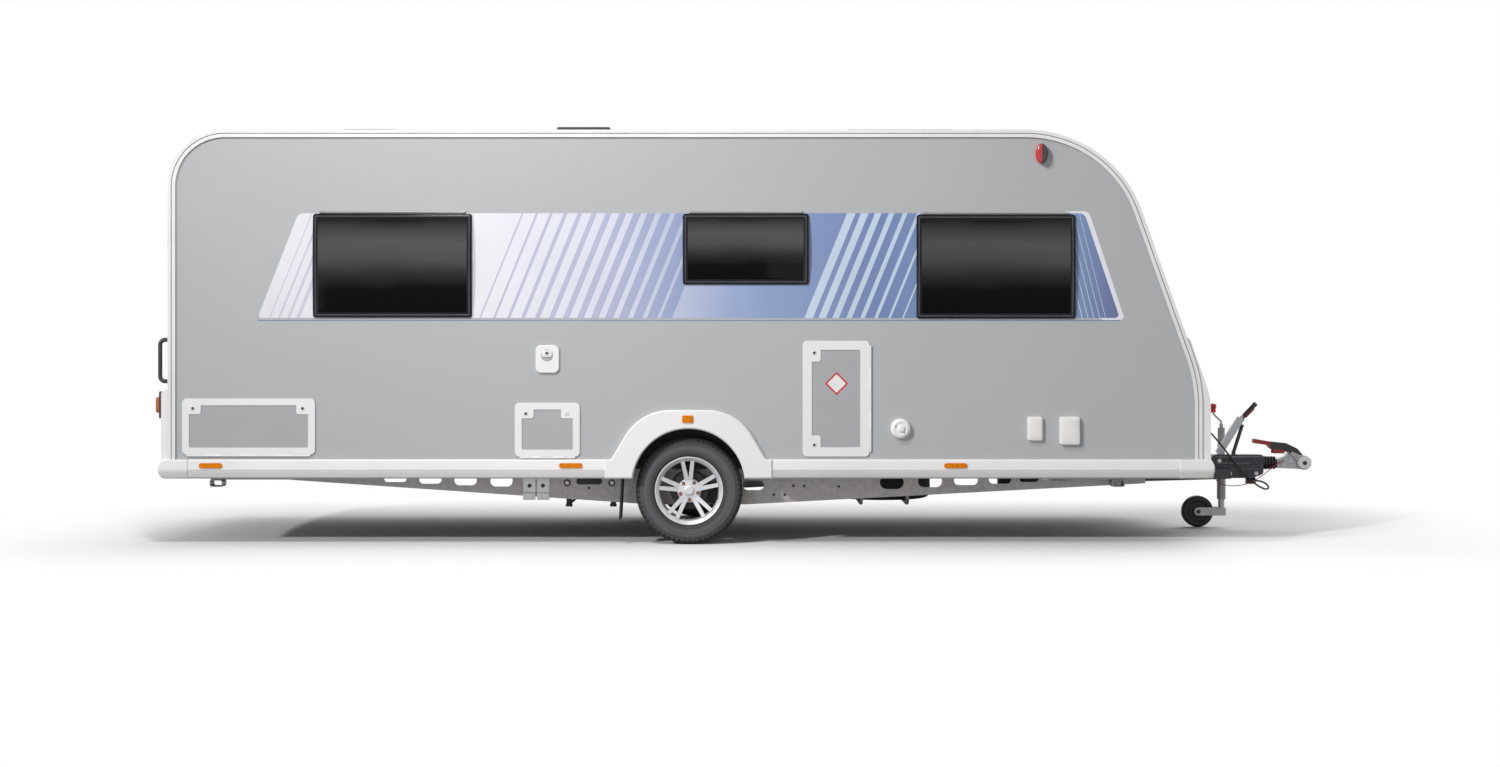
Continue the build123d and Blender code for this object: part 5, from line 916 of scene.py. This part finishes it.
alloy = finish("alloy", (0.62, 0.615, 0.63), 0.36, metal=0.4, mottle=0.06, patch=14, coat=0.25)
alloy_bright = finish("alloy_bright", (0.66, 0.655, 0.67), 0.3, metal=0.5, mottle=0.05, patch=14, coat=0.3)
bolt_bronze = finish("bolt_bronze", (0.26, 0.12, 0.08), 0.4, metal=0.5, mottle=0.25, patch=60)
brake_iron = finish("brake_iron", (0.045, 0.042, 0.04), 0.6, metal=0.4, mottle=0.3, patch=25, grain=0.2)
dress(alloy, "rim_right", "rim_left")
dress(brake_iron, "brake_drum_right", "brake_drum_left", "swing_arms")
BOLT_CIRCLE = 0.056
BOLT_COUNT = 5
BOLT_TURN = 129.0
HUB_OUT = 0.050
VALVE_RADIUS = 0.180
VALVE_TURN = math.radians(-14)
VALVE_OUT = 0.062
VALVE_LEAN = 0.5
RIM_LIP = [
    (0.2020, 0.0850), (0.2085, 0.0868), (0.2085, 0.0876), (0.2062, 0.0884), (0.2035, 0.0876),
    (0.2020, 0.0864), (0.2020, 0.0850)]
HUB_CAP = [
    (0.0, 0.0), (0.0295, 0.0), (0.0295, 0.0060), (0.0270, 0.0085), (0.0245, 0.0085), (0.0230, 0.0070),
    (0.0140, 0.0100), (0.0, 0.0112)]
VALVE = [
    (0.0, -0.012), (0.0062, -0.012), (0.0058, 0.004), (0.0042, 0.006), (0.0042, 0.017), (0.0030, 0.019),
    (0.0, 0.019)]
for side, word in SIDES:
    body = f"wheel_{word}"
    way = (0, side, 0)
    spots = []
    for index in range(BOLT_COUNT):
        turn = math.radians(BOLT_TURN + 360 / BOLT_COUNT * index)
        height = AXLE_HEIGHT + BOLT_CIRCLE * math.sin(turn)
        spots.append((BOLT_CIRCLE * math.cos(turn), side * (WHEEL_Y + HUB_OUT - 0.004), height))
    bolts(f"wheel_bolts_{word}", spots, way, 0.0098, 0.014, bolt_bronze, body)
    lip = stood(lathe(RIM_LIP, 96), (0, side * WHEEL_Y, AXLE_HEIGHT), way)
    fitted(f"rim_lip_{word}", lip, alloy_bright, body)
    cap = stood(lathe(HUB_CAP, 48), (0, side * (WHEEL_Y + HUB_OUT + 0.006), AXLE_HEIGHT), way)
    fitted(f"hub_cap_{word}", cap, alloy_bright, body)
    across, up = math.cos(VALVE_TURN), math.sin(VALVE_TURN)
    spot = (VALVE_RADIUS * across, side * (WHEEL_Y + VALVE_OUT), AXLE_HEIGHT + VALVE_RADIUS * up)
    valve = stood(lathe(VALVE, 16), spot, (-VALVE_LEAN * across, side, -VALVE_LEAN * up))
    fitted(f"valve_{word}", valve, lock_dark, body)

# Under the floor. Rubber mud flaps hang behind the wheels, plastic waste pipes end behind the rail,
# and a steel spare wheel with its tyre lies flat in a tube carrier.

flap_rubber = finish(
    "flap_rubber", (0.022, 0.022, 0.024), 0.65, mottle=0.25, patch=14, grain=0.3, grain_size=0.004)
pipe_plastic = finish("pipe_plastic", (0.03, 0.03, 0.032), 0.5, mottle=0.2, patch=20)
spare_rubber = graded(
    "spare_rubber", "R", [(0.0, (0.04, 0.04, 0.042)), (0.33, (0.055, 0.054, 0.056))], 0.0, 0.4, 0.7,
    centre=(1.245, 0.305), mottle=0.2, patch=14, grain=0.3, grain_size=0.003)
dress(flap_rubber, "mud_flaps")
dress(pipe_plastic, "waste_pipes")
dress(spare_rubber, "spare_wheel")

# Drawbar and overrun housing. Two converging rails and the cast housing that the coupling slides
# in are painted dark blue-grey; bolts through the housing carry the shaft.

drawbar_paint = finish("drawbar_paint", (0.030, 0.031, 0.044), 0.4, mottle=0.2, patch=12, grain=0.15)
dress(drawbar_paint, "drawbar", "overrun_housing")
HOUSING_Y = 0.070
# The housing ribs take a lighter grey than the housing paint: a painted highlight along them
drawbar_rib_highlight = finish("drawbar_rib_highlight", (0.17, 0.175, 0.195), 0.25, mottle=0.3, patch=14)
# low x, high x, low z, high z of the cast ribs along the flanks, coloured light as a painted highlight
HOUSING_RIBS = [(3.462, 3.776, 0.476, 0.486), (3.470, 3.690, 0.436, 0.443), (3.470, 3.776, 0.398, 0.404)]
for index, reach in enumerate(HOUSING_RIBS):
    side_plate(
        f"housing_rib_{index}", box_corners(*reach), HOUSING_Y - 0.009, 0.015, drawbar_rib_highlight, 0.003, 0.002)
# x, z
HOUSING_BOLTS = [(3.490, 0.455), (3.560, 0.372), (3.735, 0.372)]
for side, word in SIDES:
    bolts(
        f"housing_bolts_{word}", [(x, side * HOUSING_Y, z) for x, z in HOUSING_BOLTS], (0, side, 0), 0.009,
        0.008, bright_zinc)

# Bellows and coupling. A ribbed rubber bellows seals the shaft; the cast coupling head carries
# round friction pads, a red-tipped release handle and a red catch in its flank.

bellows_rubber = finish("bellows_rubber", (0.026, 0.026, 0.029), 0.26, mottle=0.25, patch=25, grain=0.2)
cast_silver = finish(
    "cast_silver", (0.38, 0.385, 0.40), 0.36, metal=0.5, mottle=0.1, patch=25, grain=0.12, grain_size=0.003)
HANDLE_RED = (0.46, 0.03, 0.035)
HANDLE_BLACK = (0.020, 0.020, 0.023)
HANDLE_REAR, HANDLE_SPLIT, HANDLE_FRONT = 3.70 + X_SHIFT, 3.842 + X_SHIFT, 4.10 + X_SHIFT
handle_coat = graded(
    "handle_coat", "X", [(HANDLE_REAR, HANDLE_RED), (HANDLE_SPLIT, HANDLE_BLACK)], HANDLE_REAR, HANDLE_FRONT,
    0.35, sharp=True, mottle=0.15, patch=20, grain=0.1)
catch_red = finish("catch_red", HANDLE_RED, 0.35, mottle=0.1, patch=30)
dress(bellows_rubber, "bellows")
dress(cast_silver, "coupling_head")
dress(handle_coat, "stabiliser_handle")
BALL_X, BALL_Z = 4.062, 0.440
PAD_DISC = [(0.0, 0.0), (0.044, 0.0), (0.044, 0.0025), (0.041, 0.0045), (0.034, 0.0050), (0.0, 0.0056)]
PAD_CENTRE = [(0.0, 0.005), (0.0145, 0.005), (0.0140, 0.0074), (0.0080, 0.0082), (0.0, 0.0082)]
HEAD_Y = 0.0505
JAW_Y = 0.0425
JAW_CORNERS = [
    (3.960, 0.500), (3.978, 0.516), (4.030, 0.492), (4.074, 0.488), (4.106, 0.462), (4.107, 0.424),
    (4.080, 0.396), (4.040, 0.396), (4.014, 0.414), (4.010, 0.444), (3.990, 0.476)]
side_plate("coupling_jaws", JAW_CORNERS, JAW_Y, 0.009, cast_silver, 0.007, 0.003)
for side, word in SIDES:
    place = (BALL_X, side * HEAD_Y, BALL_Z)
    fitted(
        f"pad_disc_{word}", stood(lathe(PAD_DISC, 48), place, (0, side, 0)), alloy_bright, "caravan")
    fitted(
        f"pad_centre_{word}", stood(lathe(PAD_CENTRE), place, (0, side, 0)), lock_dark, "caravan")
catch_corners = [(3.856, 0.502), (3.936, 0.502), (3.936, 0.522), (3.856, 0.530)]
side_plate("handle_catch", catch_corners, 0.0222, 0.0025, catch_red, 0.004, 0.001)
HEAD_BOLTS = [(3.925, -JAW_Y, 0.428), (3.965, -JAW_Y, 0.452)]
bolts("head_bolts", HEAD_BOLTS, OUT_RIGHT, 0.0075, 0.007, bright_zinc)

# Handbrake lever. A zinc plated channel with a gas strut beside it; the hand grip is black plastic
# with a red press bar along its underside.

LEVER_ZINC = (0.56, 0.58, 0.60)
LEVER_REAR, LEVER_GRIP, LEVER_FRONT = 3.40 + X_SHIFT, 3.655 + X_SHIFT, 3.80 + X_SHIFT
lever_coat = graded(
    "lever_coat", "X", [(LEVER_REAR, LEVER_ZINC), (LEVER_GRIP, HANDLE_BLACK)], LEVER_REAR, LEVER_FRONT, 0.36,
    sharp=True, metal=0.3, mottle=0.1, patch=20, grain=0.1)
strut_coat = finish("strut_coat", (0.018, 0.018, 0.02), 0.3, mottle=0.2, patch=25)
dress(lever_coat, "handbrake_lever")
dress(strut_coat, "gas_strut")
LEVER_Y = -0.020
GRIP_START = Vector((3.668, LEVER_Y, 0.744))
GRIP_STOP = Vector((3.732, LEVER_Y, 0.808))
grip_length = (GRIP_STOP - GRIP_START).length
PRESS_BAR = [
    (0.0, 0.0), (0.007, 0.0015), (0.0115, 0.006), (0.0125, 0.012), (0.0125, grip_length - 0.012),
    (0.0115, grip_length - 0.006), (0.007, grip_length - 0.0015), (0.0, grip_length)]
press_bar = stood(lathe(PRESS_BAR, 24), GRIP_START, GRIP_STOP - GRIP_START)
fitted("press_bar", press_bar, catch_red, "caravan")
CAP_END = [(0.0, -0.006), (0.0168, -0.006), (0.0172, 0.004), (0.0150, 0.011), (0.0090, 0.0148), (0.0, 0.0158)]
cap_end = stood(lathe(CAP_END, 24), (3.736, LEVER_Y, 0.827), (0.094, 0, 0.091))
fitted("grip_end", cap_end, strut_coat, "caravan")

# Jockey wheel. A galvanised outer tube is clamped to the drawbar, with a winding handle that ends
# in a red knob; the inner tube carries a fork and a black rubber wheel on a steel pin.

KNOB_RED = (0.60, 0.02, 0.022)
TUBE_ZINC = (0.42, 0.40, 0.395)
TUBE_LOW, KNOB_LOW, TUBE_HIGH = 0.1, 0.769, 0.9
tube_coat = graded(
    "tube_coat", "Z", [(TUBE_LOW, TUBE_ZINC), (KNOB_LOW, KNOB_RED)], TUBE_LOW, TUBE_HIGH, 0.42,
    sharp=True, metal=0.35, mottle=0.14, patch=25, grain=0.12, grain_size=0.004)
fork_zinc = finish(
    "fork_zinc", (0.54, 0.525, 0.52), 0.45, metal=0.5, mottle=0.1, patch=25, grain=0.1, grain_size=0.004)
JOCKEY_X, JOCKEY_Z = 3.390, 0.105
JOCKEY_TONES = [
    (0.0, (0.03, 0.028, 0.028)), (0.05, (0.016, 0.015, 0.016)), (0.08, (0.026, 0.024, 0.025)),
    (0.105, (0.012, 0.012, 0.012))]
jockey_rubber = graded(
    "jockey_rubber", "R", JOCKEY_TONES, 0.0, 0.11, 0.55, centre=(JOCKEY_X, JOCKEY_Z), mottle=0.25, patch=30,
    grain=0.3, grain_size=0.003)
knob_plastic = finish("knob_plastic", KNOB_RED, 0.3, mottle=0.08, patch=30, coat=0.2)
dress(tube_coat, "jockey_outer_tube")
dress(fork_zinc, "jockey_inner_tube", "jockey_fork")
dress(jockey_rubber, "jockey_wheel")
KNOB = [
    (0.0, -0.030), (0.0120, -0.030), (0.0125, -0.012), (0.0195, -0.004), (0.0220, 0.006), (0.0205, 0.016),
    (0.0140, 0.0235), (0.0, 0.0260)]
fitted(
    "crank_knob", stood(lathe(KNOB, 32), (3.499, 0.150, 0.806), (0, 0, 1)), knob_plastic, "caravan")
bolts(
    "fork_bolts", [(JOCKEY_X, 0.1030, JOCKEY_Z)], OUT_RIGHT, 0.0085, 0.006, bolt_dark_and_hole_shade, "jockey_caster")
